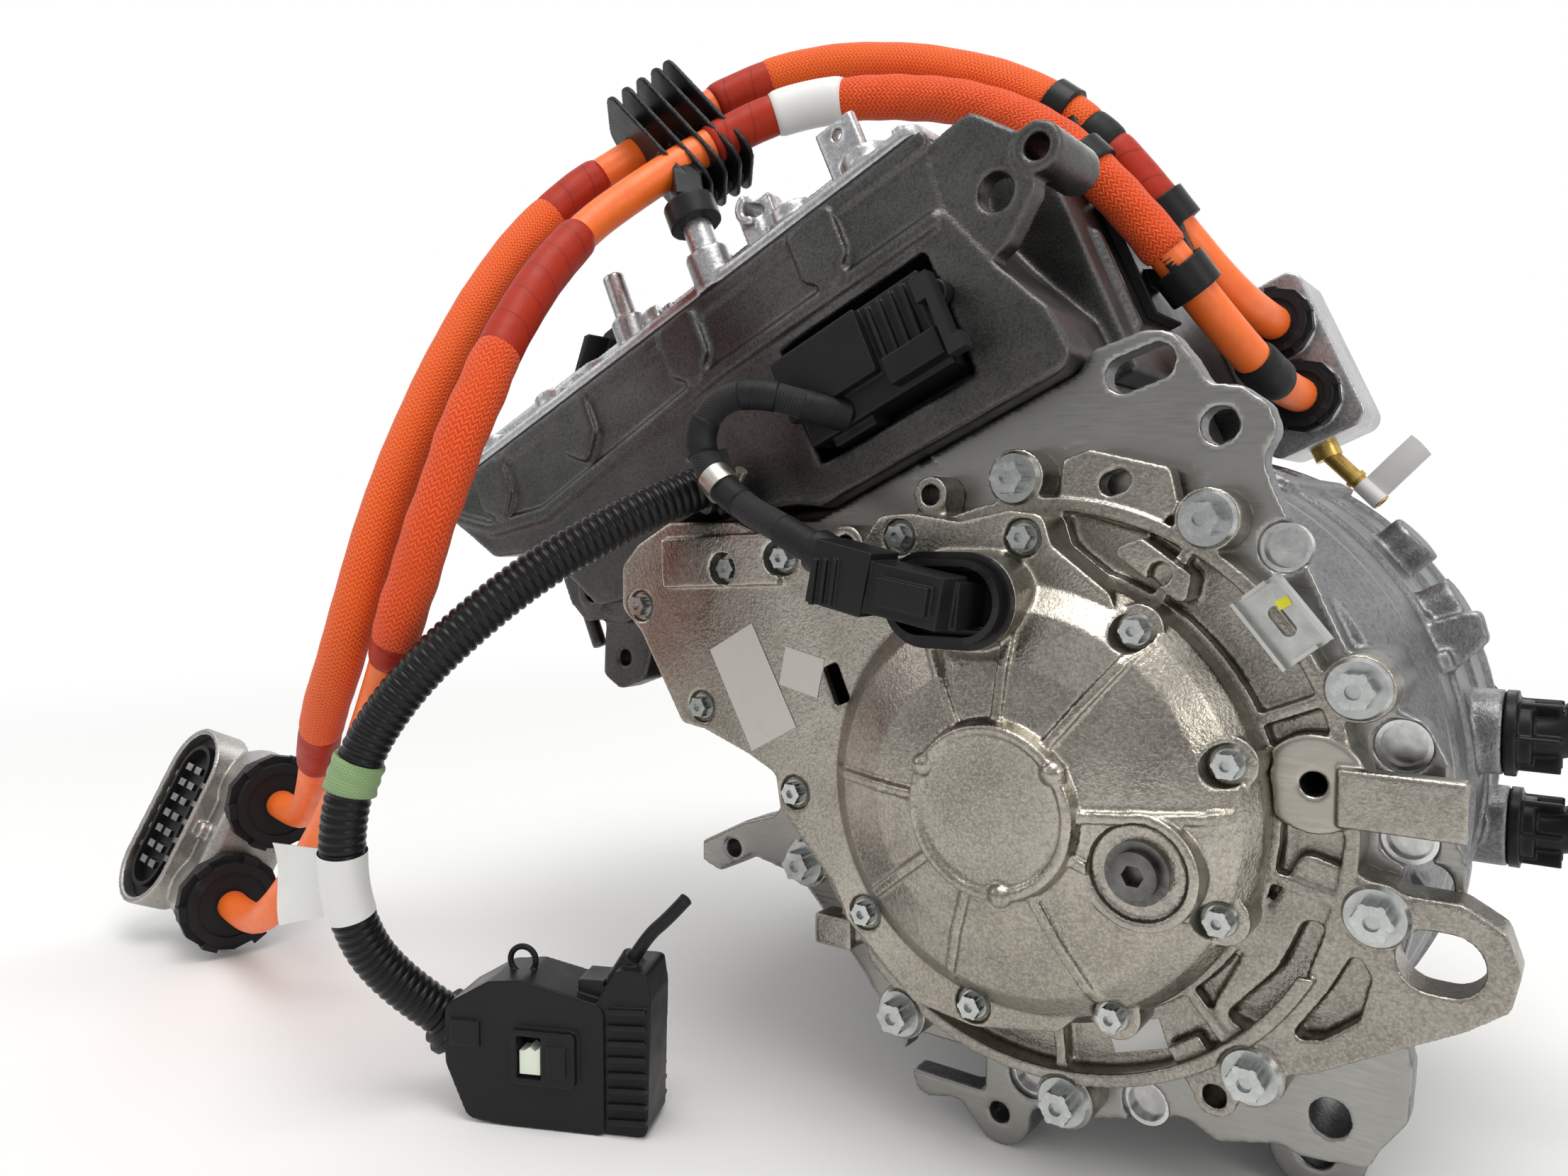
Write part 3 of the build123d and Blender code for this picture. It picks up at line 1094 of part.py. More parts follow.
def gland_nut(radius, height, lug_count):
    """Union nut along -Z from its open face at the origin, with lugs and a grip ring."""
    body = Pos(0, 0, -height) * post(radius * 0.84, height)
    crown = Pos(0, 0, -height) * extrude(RegularPolygon(radius, lug_count), amount=height * 0.55)
    lugs = PolarLocations(radius * 0.86, lug_count // 2) * Rectangle(radius * 0.26, radius * 0.3)
    ring = Pos(0, 0, -1.4) * extrude(Circle(radius * 0.66) - Circle(lead_r + 1.0), amount=2)
    return body + [crown, Pos(0, 0, -height * 0.8) * extrude(Sketch() + lugs, amount=height * 0.7)] - ring


def make_hv_port_nuts():
    nut = gland_nut(port_nut_r, port_y[0] - port_face_y - 4, 10)
    return group([tilted(Pos(s, port_face_y, t) * Rot(90, 0, 0) * nut) for s, t in port_nuts])


plug_centre = (plug_xy[0], plug_xy[1], floor_z + plug_rise)
plug_place = Pos(*plug_centre) * Rot(0, 0, -plug_turn) * Rot(-plug_lean, 0, 0)
nut_places = [plug_place * Pos(0, 0, side * plug_pitch / 2) for side in (1, -1)]
gland_direction = Vector(cos(radians(plug_turn)), -sin(radians(plug_turn)), 0)

# Hand-chosen middle stretches of the two leads, from the port to the plug
outer_route = [(32, 172, 250), (16, 150, 274), (-3, 139, 303), (-27, 131, 334), (-70, 124, 368),
               (-141, 118, 396), (-205, 98, 401), (-246, 65, 379), (-273, 28, 345), (-298, -10, 313),
               (-305, -55, 263), (-303, -95, 204), (-305, -125, 144), (-313, -139, 92), (-331, -141, 50),
               (-372, -128, 12), (-418, -104, -29), (-471, -78, -63)]
inner_route = [(48, 168, 208), (32, 139, 234), (12, 122, 266), (-10, 108, 296), (-38, 102, 326),
               (-80, 99, 352), (-131, 94, 367), (-190, 76, 370), (-229, 43, 346), (-249, 5, 315),
               (-264, -30, 285), (-257, -75, 241), (-250, -112, 190), (-256, -132, 138),
               (-277, -137, 88), (-305, -132, 42), (-348, -119, -4), (-390, -110, -47),
               (-431, -107, -90), (-479, -101, -128)]
conduit_route = [(-186, -21, 140), (-196, -42, 132), (-211, -65, 118), (-229, -94, 99), (-249, -124, 71),
                 (-270, -146, 41), (-288, -160, 7), (-296, -166, -32), (-300, -160, -74),
                 (-296, -142, -112), (-280, -118, -136)]
branch_route = [(-104, 0, 175), (-119, -16, 180), (-138, -29, 187), (-158, -37, 184), (-168, -42, 168),
                (-161, -44, 149), (-143, -46, 134), (-117, -50, 122), (-88, -52, 109)]
tail_route = [(-186, -72, -98), (-179, -69, -86), (-169, -66, -77), (-160, -62, -66)]


def lead_points(index):
    """Full route of one lead, straight out of the port and straight into the plug."""
    start = Vector(*on_tilt(port_nuts[index][0], port_face_y, port_nuts[index][1]))
    end = Vector(*nut_places[index].position)
    middle = [Vector(*point) for point in (outer_route, inner_route)[index]]
    return [start, start - Vector(0, exit_run, 0), *middle, end + gland_direction * entry_run, end]


def cord_path(points):
    """Straight runs joined by the largest arcs that both runs allow."""
    corners = [Vector(*point) for point in points]
    radii = [corner_radius(*three, 0.45) for three in zip(corners, corners[1:], corners[2:])]
    return FilletPolyline(*corners, radius=radii), radii


def cord_tube(points, radius):
    path, radii = cord_path(points)
    return sweep(aimed(path @ 0, path % 0, (0, 0.3, 1)) * Circle(radius), path=path)


def report_cord(name, points, radius):
    """Print what a cord's route comes to."""
    path, radii = cord_path(points)
    ratio = cord_tube(points, radius).volume / (pi * radius ** 2 * path.length)
    print(name, "length", round(path.length), "volume ratio", round(ratio, 4), "radii",
          [round(r) for r in radii])


def make_hv_lead_outer():
    return cord_tube(lead_points(0), lead_r)


def make_hv_lead_inner():
    return cord_tube(lead_points(1), lead_r)


def make_hv_plug_shell():
    """Die-cast shell of the free plug: two gland tubes, a joining body and the oval mating rim."""
    tubes = [Pos(-nut_t - 48, 0, side * plug_pitch / 2) * Rot(0, 90, 0) * post(30, 48) for side in (-1, 1)]
    body = block((-66, -nut_t - 4), (-26, 26), (-54, 54))
    body = fillet(body.edges().filter_by(Axis.Z), 8.0)
    rim_plane = aimed(rim_face, rim_normal)
    rim = rim_plane * (Pos(0, 0, -rim_deep) * extrude(SlotOverall(*rim_size), amount=rim_deep))
    neck = rim_plane * (Pos(0, 0, -58) * extrude(SlotOverall(rim_size[0] - 20, rim_size[1] - 15),
                                                 amount=50))
    pocket = rim_plane * (Pos(0, 0, -14) * extrude(SlotOverall(rim_size[0] - 9, rim_size[1] - 9),
                                                   amount=20))
    screws = [Pos(-40, -24, 0) * Rot(90, 0, 0) * post(6.5, 9)]
    screws += [Pos(-36, 12, side * 66) * Rot(0, 90, 0) * post(6.5, 18) for side in (-1, 1)]
    return plug_place * (body + [*tubes, neck, rim, *screws] - pocket)


def make_hv_plug_contacts():
    """Insulating carrier with rows of contact blades inside the rim."""
    rim_plane = aimed(rim_face, rim_normal)
    carrier = Pos(0, 0, -14) * extrude(SlotOverall(rim_size[0] - 10, rim_size[1] - 10), amount=5)
    wall = extrude(SlotOverall(rim_size[0] - 26, rim_size[1] - 26) - SlotOverall(rim_size[0] - 32,
                                                                                 rim_size[1] - 32),
                   amount=7)
    blades = [Pos(x, y, -9) * Box(5, 9, 7, align=(Align.CENTER, Align.CENTER, Align.MIN))
              for x in range(-36, 37, 12) for y in (-7, 7)]
    studs = [Pos(x, y, -9) * Box(4, 4, 6, align=(Align.CENTER, Align.CENTER, Align.MIN))
             for x in range(-28, 29, 14) for y in (-22, 22)]
    return plug_place * (rim_plane * (carrier + [Pos(0, 0, -9) * wall, *blades, *studs]))


def make_hv_plug_nuts():
    nut = gland_nut(nut_r, nut_t, 12)
    return group([place * Rot(0, 90, 0) * nut for place in nut_places])


def lead_room(index, extra=0.0):
    """Space that one lead takes, with the clearance of what holds it."""
    return cord_tube(lead_points(index), lead_r + hold_gap + extra)


def make_cable_clip():
    """Ribbed saddle clip that carries both leads on the lid's post."""
    plane = aimed(clip_centre, clip_axis, clip_side)
    rib_face = RectangleRounded(82, 44, 10)
    ribs = [plane * (Pos(0, 0, z) * extrude(rib_face, amount=2.6)) for z in (-22, -11, 0, 11, 20)]
    spine = plane * (Pos(0, 0, -22) * extrude(Pos(0, -12) * Rectangle(70, 12), amount=44.6))
    top = on_tilt(*clip_post_pos, lid_top + 28)
    down = Vector(*on_tilt(0, 0, -1))
    grommet_place = aimed(Vector(*top) + down * 9, -down)
    grommet = grommet_place * (post(15, 14) - Pos(0, 0, -1) * post(8.5 + run_gap, 10.1))
    arm_length = (Vector(*clip_centre) - Vector(*top)).length
    arm = aimed(Vector(*top) + down * -5, Vector(*clip_centre) - Vector(*top)) * Box(16, 16,
                                                                                     arm_length * 0.9,
                                                                                     align=(Align.CENTER,
                                                                                            Align.CENTER,
                                                                                            Align.MIN))
    post_room = grommet_place * (Pos(0, 0, -40) * post(8.5 + run_gap, 49.1))
    return (grommet + [*ribs, spine, arm]) - [lead_room(0), lead_room(1), post_room]


def make_support_arm():
    """Black moulded arm that rises from the lid behind the leads."""
    (s0, s1), (y0, y1) = arm_foot
    base = block((s0, s1), (y0, y1), (lid_top + 5, lid_top + 10))
    wall = slab(outline([(s0, lid_top + 5), (s1, lid_top + 5), (s1 + 46, lid_top + 42),
                         (s1 + 46, lid_top + 56), (s1 + 26, lid_top + 56), (s0, lid_top + 28)], 5.0),
                y1 - 8, y1 - 3)
    rib = slab(outline([(s0 + 12, lid_top + 6), (s0 + 16, lid_top + 6), (s1 + 30, lid_top + 50),
                        (s1 + 24, lid_top + 52)], 1.0), y0 + 10, y1 - 4)
    return tilted(base + wall + rib) - [lead_room(0, 1.0), lead_room(1, 1.0)]


def lead_ring(index, place, length):
    """Split ring round one lead at the middle of one run."""
    route = (outer_route, inner_route)[index]
    start, end = Vector(*route[place]), Vector(*route[place + 1])
    return aimed((start + end) * 0.5, end - start, (0.3, 1, 0)) * (Pos(0, 0,
                                                                       -length / 2) * post(lead_r + 4.5,
                                                                                           length))


def strut(start, end, width, thick, side):
    """Straight bar of rectangular section between two points."""
    return aimed(start, end - start, side) * Box(width, thick, (end - start).length,
                                                 align=(Align.CENTER, Align.CENTER, Align.MIN))


def make_cable_guide():
    """Black guide on the inverter's flank that holds both leads low down and again near the top."""
    flank_s = inv_block_s[1]
    plate = tilted(block((flank_s, flank_s + 6), guide_y, (206, 276)))
    rings = [lead_ring(0, 1, 18), lead_ring(1, 1, 18), lead_ring(0, 3, 14), lead_ring(1, 3, 14)]
    low_outer, low_inner, high_outer, high_inner = [ring.center() for ring in rings]
    root = Vector(*on_tilt(flank_s + 3, sum(guide_y) / 2, 232))
    tip = Vector(*on_tilt(flank_s + 3, sum(guide_y) / 2, 268))
    bars = [strut(low_outer, low_inner, 14, 12, (1, 0, 0.2)), strut(root, low_inner, 16, 9, (0, 1, 0)),
            strut(high_outer, high_inner, 12, 9, (1, 0, 0.2)), strut(tip, high_inner, 26, 6, (0, 1, 0)),
            strut(low_inner, high_inner, 24, 5, (0, 1, 0))]
    flank = tilted(block((0, flank_s), (0, 300), (150, 330)))
    return plate + [*rings, *bars] - [lead_room(0), lead_room(1), flank]


def make_harness_branch():
    return cord_tube(branch_route, branch_r)


def make_corrugated_conduit():
    return cord_tube(conduit_route, conduit_r)


def route_frame(route, index):
    """Plane half way along one run of a route, with Z along the run."""
    start, end = Vector(*route[index]), Vector(*route[index + 1])
    return aimed((start + end) * 0.5, end - start, (0.2, 1, 0.1))


def make_harness_clamp():
    """Band clamp on the branch and the T-clip where the corrugated conduit begins."""
    band_plane = route_frame(branch_route, 5)
    band = Pos(0, 0, -5) * (post(branch_r + 1.6, 10) - Pos(0, 0, -1) * post(branch_r + hold_gap / 2, 12))
    screw = Pos(branch_r + 4, 0, 0) * Rot(90, 0, 0) * Cylinder(3.2, 14)
    clamp = band_plane * (band + screw)
    start, following = Vector(*conduit_route[0]), Vector(*conduit_route[1])
    clip_plane = aimed(start, start - following, (0.2, 1, 0.1))
    collar = post(conduit_r + 3, 10)
    target = Vector(*branch_route[5])
    reach = target - start
    jaw_place = aimed(start + (start - following).normalized() * 8, reach, (0, 1, 0))
    jaw = jaw_place * Box(12, 16, reach.length - 2, align=(Align.CENTER, Align.CENTER, Align.MIN))
    tabs = Pos(0, conduit_r, 4) * Box(10, 12, 6) + Pos(0, -conduit_r, 6) * Box(8, 14, 5)
    clip = clip_plane * (collar + tabs) + jaw
    rooms = [cord_tube(branch_route, branch_r + hold_gap), cord_tube(conduit_route, conduit_r + hold_gap)]
    return group([clamp, clip - rooms])


def make_exciter_collar():
    """Oval socket collar in the cover."""
    plate = slab(oval(exciter_pos, exciter_span, 21), -dome_front - 4, -dome_front)
    rim = slab(oval(exciter_pos, exciter_span - 6, 18), -dome_front - 9, -dome_front - 4)
    well = slab(oval(exciter_pos, exciter_span - 12, 15), -dome_front - 10, -dome_front + 1)
    liner = slab(oval(exciter_pos, exciter_span - 6.6, 14.7), -dome_front, -dome_front + 9)
    return plate + [rim, liner] - slab(oval(exciter_pos, exciter_span - 12, 12.5), -dome_front - 10,
                                       -dome_front + 5) - well


def make_exciter_plug():
    """Right-angled plug with its latch, seated in the collar."""
    rim_front = -dome_front - 9.4
    body = slab(bar_between((-64, 98), (-10, 88), 22), -78, rim_front)
    nose = slab(bar_between((-40, 90), (-8, 86.5), 20), -66, -dome_front + 4.5)
    shoulder = slab(bar_between((-72, 101), (-44, 95), 28), -80, rim_front)
    latch = slab(bar_between((-38, 93), (-14, 89), 12), -82, -77)
    grips = [slab(bar_between((x, 106), (x - 3, 86), 2), -82, -79) for x in (-68, -63, -58)]
    start = Vector(*branch_route[-1])
    before = Vector(*branch_route[-2])
    boot_plane = aimed(start, start - before, (0, 1, 0))
    boot = boot_plane * post(branch_r + 3, 24)
    elbow = aimed(start + (start - before).normalized() * 20, Vector(0.45, -0.85, -0.1),
                  (0, 0, 1)) * (Pos(0, 0, -4) * post(12, 18))
    return body + [nose, shoulder, latch, *grips, boot, elbow]


lv_place = Pos(*lv_xy, floor_z) * Rot(0, 0, lv_turn)


def make_lv_connector():
    """Large signal connector on its edge: shell, back lid with slats, cable necks and loop."""
    body_face = [(-50, 30), (-38, 2), (-20, 0), (34, 0), (36, 2), (36, 66), (10, 72), (-8, 76),
                 (-26, 74), (-50, 60)]
    body = slab(outline(body_face, 7.0), -lv_size[1] / 2, lv_size[1] / 2)
    rear = slab(outline([(30, 0), (56, 0), (58, 4), (60, 70), (58, 84), (42, 84), (32, 68)], 3.0), -15, 15)
    slats = [slab(outline([(38, z), (58, z + 1), (58, z + 4), (38, z + 3)], 0.8), -18, 18)
             for z in range(6, 66, 8)]
    frame = slab(outline([(-12, 24), (22, 24), (22, 52), (-12, 52)],
                         3.0) - outline([(-9, 27), (4, 27), (4, 49), (-9, 49)], 1.0),
                 -lv_size[1] / 2 - 4, -lv_size[1] / 2)
    latch = block((8, 18), (-lv_size[1] / 2 - 6, -lv_size[1] / 2), (30, 46))
    keeper = [block((x, x + 14), (-10, 10), (62, 76)) for x in (20,)]
    loop = Pos(-14, 0, 80) * Rot(90, 0, 0) * Torus(7, 1.6)
    stop = block((-46, -30), (-lv_size[1] / 2 - 2, 0), (40, 54))
    whole = body + [rear, frame, latch, loop, stop, *slats, *keeper]
    well = block((lock_pos[0] - 0.5, lock_pos[0] + 11.5), (-lv_size[1] / 2 - 5, -lv_size[1] / 2 + 8),
                 (28, 48))
    whole = lv_place * (whole - well)
    end, before = Vector(*conduit_route[-1]), Vector(*conduit_route[-2])
    neck = aimed(end, end - before, (0, 0, 1)) * post(conduit_r + 3.5, 30)
    ring = aimed(end, end - before, (0, 0, 1)) * (Pos(0, 0, 5) * post(conduit_r + 6, 4))
    tail_start, tail_next = Vector(*tail_route[0]), Vector(*tail_route[1])
    tail_plane = aimed(tail_start, tail_start - tail_next, (0, 1, 0))
    tail_neck = tail_plane * post(6.5, 24)
    return whole + [neck, ring, tail_neck] - cord_tube(conduit_route, conduit_r + hold_gap)


def make_lv_connector_lock():
    """Pale lock insert with a wavy front."""
    x0, z0 = lock_pos[0], 29.0
    steps = [(x0, z0), (x0 + 11, z0), (x0 + 11, z0 + lock_tall)]
    steps += [(x0 + 11 - i * 2.75, z0 + lock_tall - (2 if i % 2 else 0))
              for i in range(1, 4)] + [(x0, z0 + lock_tall - 2)]
    face = make_face(Polyline(*steps, close=True))
    return lv_place * slab(face, -lv_size[1] / 2 - 2, -lv_size[1] / 2 + 7)


def make_tail_cable():
    return cord_tube(tail_route, tail_r)


upper_elbow = [(port_face_x, ports[0][0], ports[0][1]), (192, 140, 24), (210, 142, 40), (216, 144, 66),
               (214, 146, 92), (207, 148, 116)]
lower_elbow = [(port_face_x, ports[1][0], ports[1][1]), (194, 186, -30), (212, 186, -16), (218, 186, 6),
               (216, 188, 28)]


def make_coolant_elbows():
    """Two quick-fit coolant elbows with ribbed necks, the upper one with its short hose end."""
    pieces = []
    for route in (upper_elbow, lower_elbow):
        y, z = route[0][1], route[0][2]
        flange = Pos(port_face_x, y, z) * Rot(0, 90, 0) * (post(port_r + 5,
                                                                5) + Pos(0, 0, 5) * post(port_r + 1, 6))
        ribs = [Pos(port_face_x + 5, y, z) * Rot(a, 0, 0) * Pos(8, 0, 0) * Box(18, 2 * port_r + 6, 2.4)
                for a in (0, 60, 120)]
        spigot = Pos(port_face_x - 16, y, z) * Rot(0, 90, 0) * post(port_r - 4 - press_gap, 17)
        tube = cord_tube(route, elbow_r)
        end = aimed(Vector(*route[-1]), Vector(*route[-2]) - Vector(*route[-1]), (0, 1, 0))
        socket = end * post(elbow_r + 3, 20)
        bore = end * (Pos(0, 0, -1) * post(elbow_bore, 24))
        pieces.append(tube + [flange, spigot, socket, *ribs] - bore)
    tab = Pos(212, 186, -34) * Rot(0, 90, 0) * (Box(12, 3, 24) - Rot(90, 0, 0) * Cylinder(3, 8))
    pieces[1] += tab
    return group(pieces)


def make_vent_tube():
    """Brass vent tube under the lead port."""
    collar = tilted(upright(8, port_t[0] - 8, port_t[0], vent_s, vent_y))
    start = Vector(*on_tilt(vent_s, vent_y, port_t[0] - 4))
    tube = aimed(start, (0.707, 0, -0.707), (0, 1, 0)) * post(5, 44)
    bore = aimed(start, (0.707, 0, -0.707), (0, 1, 0)) * (Pos(0, 0, 24) * post(3.4, 30))
    ring = aimed(start, (0.707, 0, -0.707), (0, 1, 0)) * (Pos(0, 0, 22) * post(6.2, 3))
    return collar + [tube, ring] - bore


def move_to_origin(shape):
    return Pos(-origin_x, -origin_y, -floor_z) * shape


nodes = {
    "main_housing": make_main_housing,
    "end_shield": make_shield,
    "brush_cover": make_cover,
    "shield_bolts": make_shield_bolts,
    "cover_bolts": make_cover_bolts,
    "level_plug": make_level_plug,
    "cup_plugs": make_cup_plugs,
    "channel_clip": make_channel_clip,
    "gearbox_housing": make_gearbox_housing,
    "gearbox_cover": make_gearbox_cover,
    "gearbox_bolts": make_gearbox_bolts,
    "stator_core": make_stator_core,
    "stator_windings": make_stator_windings,
    "rotor_core": make_rotor_core,
    "rotor_windings": make_rotor_windings,
    "rotor_shaft": make_rotor_shaft,
    "slip_rings": make_slip_rings,
    "brush_holder": make_brush_holder,
    "brushes": make_brushes,
    "rotor_bearings": make_rotor_bearings,
    "resolver": make_resolver,
    "sensor_wheel": make_sensor_wheel,
    "shaft_seals": make_shaft_seals,
    "intermediate_shaft": make_intermediate_shaft,
    "intermediate_bearings": make_intermediate_bearings,
    "final_gear": make_final_gear,
    "differential_case": make_differential_case,
    "differential_gears": make_differential_gears,
    "output_bearings": make_output_bearings,
    "inverter_housing": make_inverter_housing,
    "inverter_lid": make_inverter_lid,
    "lid_gasket": make_lid_gasket,
    "lid_screws": make_lid_screws,
    "control_board": make_control_board,
    "power_module": make_power_module,
    "dc_link_capacitor": make_dc_link_capacitor,
    "phase_busbars": make_phase_busbars,
    "inverter_header": make_inverter_header,
    "inverter_plug": make_inverter_plug,
    "plug_lever": make_plug_lever,
    "hv_port_housing": make_hv_port_housing,
    "hv_port_nuts": make_hv_port_nuts,
    "hv_lead_outer": make_hv_lead_outer,
    "hv_lead_inner": make_hv_lead_inner,
    "hv_plug_shell": make_hv_plug_shell,
    "hv_plug_contacts": make_hv_plug_contacts,
    "hv_plug_nuts": make_hv_plug_nuts,
    "cable_clip": make_cable_clip,
    "support_arm": make_support_arm,
    "cable_guide": make_cable_guide,
    "harness_branch": make_harness_branch,
    "harness_clamp": make_harness_clamp,
    "exciter_collar": make_exciter_collar,
    "exciter_plug": make_exciter_plug,
    "corrugated_conduit": make_corrugated_conduit,
    "lv_connector": make_lv_connector,
    "lv_connector_lock": make_lv_connector_lock,
    "tail_cable": make_tail_cable,
    "coolant_elbows": make_coolant_elbows,
    "vent_tube": make_vent_tube,
}

if __name__ == "__main__":
    os.makedirs("parts", exist_ok=True)
    for name, make in nodes.items():
        export_step(move_to_origin(make()), f"parts/{name}.step")
    for name, points, radius in (("outer lead", lead_points(0), lead_r),
                                 ("inner lead", lead_points(1), lead_r),
                                 ("conduit", conduit_route, conduit_r),
                                 ("branch", branch_route, branch_r), ("tail", tail_route, tail_r)):
        report_cord(name, points, radius)
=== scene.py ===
import json
import math

import bmesh
import bpy
import numpy as np
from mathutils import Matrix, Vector
from mathutils.bvhtree import BVHTree

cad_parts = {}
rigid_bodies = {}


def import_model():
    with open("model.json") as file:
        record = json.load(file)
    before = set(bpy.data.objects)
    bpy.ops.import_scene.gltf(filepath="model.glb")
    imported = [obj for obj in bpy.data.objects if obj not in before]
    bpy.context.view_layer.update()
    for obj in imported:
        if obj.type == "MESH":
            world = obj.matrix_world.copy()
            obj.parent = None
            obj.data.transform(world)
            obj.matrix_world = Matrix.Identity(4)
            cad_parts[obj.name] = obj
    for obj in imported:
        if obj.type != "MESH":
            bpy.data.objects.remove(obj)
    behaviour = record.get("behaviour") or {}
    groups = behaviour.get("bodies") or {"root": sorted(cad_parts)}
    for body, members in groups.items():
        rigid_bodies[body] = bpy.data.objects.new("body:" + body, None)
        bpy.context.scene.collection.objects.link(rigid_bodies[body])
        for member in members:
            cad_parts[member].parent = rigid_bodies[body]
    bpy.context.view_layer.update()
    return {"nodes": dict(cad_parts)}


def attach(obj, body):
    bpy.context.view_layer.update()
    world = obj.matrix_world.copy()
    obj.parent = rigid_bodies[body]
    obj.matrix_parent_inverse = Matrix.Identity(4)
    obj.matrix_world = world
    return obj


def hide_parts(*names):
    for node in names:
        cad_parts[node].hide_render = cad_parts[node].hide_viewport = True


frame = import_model()
cadNodes = frame["nodes"]
shown = bpy.context.scene.collection.objects

# Camera, lamps and floor. Change these to light the unit another way.
studio = {
    "cameraPlace": (0.31629, -0.6405, 0.3044),
    "cameraAim": (-0.5926, 0.8038, -0.0529),
    "lens": 26.27,
    "floorColour": (0.88, 0.88, 0.87),
    "floorHalf": 9,
    "floorDrop": 0.0005,
    "roomLight": 0.8,
    "whiteFrom": 0.75,      # where the floor starts to fade to the white background, in metres
    "whiteAt": 2.2,
    "lampAim": (0.0, 0.0, 0.25),
    # height from straight down to straight up, grey that metal mirrors there
    "roomBands": [(0.0, 0.5), (0.48, 0.62), (0.53, 0.2), (0.62, 0.3), (0.7, 1.0), (0.8, 0.35), (0.88, 0.9),
                  (1.0, 1.1)],
    "behindFrom": (-0.1, 0.45),     # where the mirrored room turns white towards the back
    # name, place, watts, size, colour
    "lamps": [
        ("overhead", (0.3, -0.5, 1.9), 15.0, 1.0, (1.0, 0.98, 0.95)),
        ("leftSoft", (-1.6, -1.1, 1.1), 4.0, 1.0, (0.95, 0.97, 1.0)),
        ("rightStrip", (1.5, -0.5, 0.9), 4.0, 0.6, (1.0, 0.97, 0.92)),
        ("backSoft", (-0.3, 1.7, 1.5), 6.0, 1.0, (1.0, 1.0, 1.0)),
    ],
}


def buildStudio(s):
    scene = bpy.context.scene
    lens = bpy.data.cameras.new("photoCamera")
    lens.sensor_width = 36.0
    lens.lens = s["lens"]
    lens.clip_start = 0.01
    camera = bpy.data.objects.new("photoCamera", lens)
    camera.location = s["cameraPlace"]
    camera.rotation_euler = Vector(s["cameraAim"]).to_track_quat("-Z", "Y").to_euler()
    shown.link(camera)
    scene.camera = camera
    for name, place, watts, size, colour in s["lamps"]:
        lamp = bpy.data.lights.new(name, "AREA")
        lamp.energy = watts
        lamp.size = size
        lamp.color = colour
        holder = bpy.data.objects.new(name, lamp)
        holder.location = place
        aim = Vector(s["lampAim"]) - Vector(place)
        holder.rotation_euler = aim.to_track_quat("-Z", "Y").to_euler()
        shown.link(holder)
    # The room: white to the camera, and in metal white behind the unit and banded in front. Even to the rest.
    world = bpy.data.worlds.new("room")
    world.use_nodes = True
    tree = world.node_tree
    back = tree.nodes["Background"]
    add, link = tree.nodes.new, tree.links.new
    coords, split, path = add("ShaderNodeTexCoord"), add("ShaderNodeSeparateXYZ"), add("ShaderNodeLightPath")
    link(coords.outputs["Generated"], split.inputs[0])
    lift = add("ShaderNodeMath")
    lift.operation = "MULTIPLY_ADD"
    lift.inputs[1].default_value = 0.5
    lift.inputs[2].default_value = 0.5
    link(split.outputs["Z"], lift.inputs[0])
    band = add("ShaderNodeValToRGB")
    link(lift.outputs[0], band.inputs[0])
    while len(band.color_ramp.elements) < len(s["roomBands"]):
        band.color_ramp.elements.new(0.5)
    for element, (at, grey) in zip(band.color_ramp.elements, s["roomBands"]):
        element.position = at
        element.color = (grey, grey, grey * 1.01, 1)
    behind = add("ShaderNodeMapRange")
    behind.inputs["From Min"].default_value, behind.inputs["From Max"].default_value = s["behindFrom"]
    link(split.outputs["Y"], behind.inputs["Value"])

    def mixed(factor, a, b):
        made = add("ShaderNodeMix")
        made.data_type = "RGBA"
        for socket, value in ((made.inputs["Factor"], factor), (made.inputs["A"], a), (made.inputs["B"], b)):
            if isinstance(value, float):
                socket.default_value = (value,) * 3 + (1,)
            else:
                link(value, socket)
        return made.outputs["Result"]
    mirrored = mixed(behind.outputs[0], band.outputs["Color"], 1.0)
    even = mixed(path.outputs["Is Glossy Ray"], s["roomLight"], mirrored)
    through = mixed(path.outputs["Is Transmission Ray"], even, 1.0)
    link(mixed(path.outputs["Is Camera Ray"], through, 1.0), back.inputs["Color"])
    scene.world = world
    scene.view_settings.view_transform = "Standard"
    mesh = bpy.data.meshes.new("floor")
    half = s["floorHalf"]
    corners = [(-half, -half, 0), (half, -half, 0), (half, half, 0), (-half, half, 0)]
    mesh.from_pydata(corners, [], [(0, 1, 2, 3)])
    floor = bpy.data.objects.new("floor", mesh)
    floor.location.z = -s["floorDrop"]
    shown.link(floor)
    paint = bpy.data.materials.new("paleFloor")
    paint.use_nodes = True
    tree = paint.node_tree
    shader = tree.nodes["Principled BSDF"]
    shader.inputs["Base Color"].default_value = (*s["floorColour"], 1)
    shader.inputs["Roughness"].default_value = 0.75
    far, reach, fade = (tree.nodes.new(kind) for kind in
                        ("ShaderNodeTexCoord", "ShaderNodeVectorMath", "ShaderNodeMapRange"))
    reach.operation = "LENGTH"
    fade.interpolation_type = "SMOOTHSTEP"
    fade.inputs["From Min"].default_value = s["whiteFrom"]
    fade.inputs["From Max"].default_value = s["whiteAt"]
    white, blend = tree.nodes.new("ShaderNodeEmission"), tree.nodes.new("ShaderNodeMixShader")
    tree.links.new(far.outputs["Object"], reach.inputs[0])
    tree.links.new(reach.outputs["Value"], fade.inputs["Value"])
    tree.links.new(fade.outputs[0], blend.inputs[0])
    tree.links.new(shader.outputs[0], blend.inputs[1])
    tree.links.new(white.outputs[0], blend.inputs[2])
    tree.links.new(blend.outputs[0], tree.nodes["Material Output"].inputs["Surface"])
    mesh.materials.append(paint)


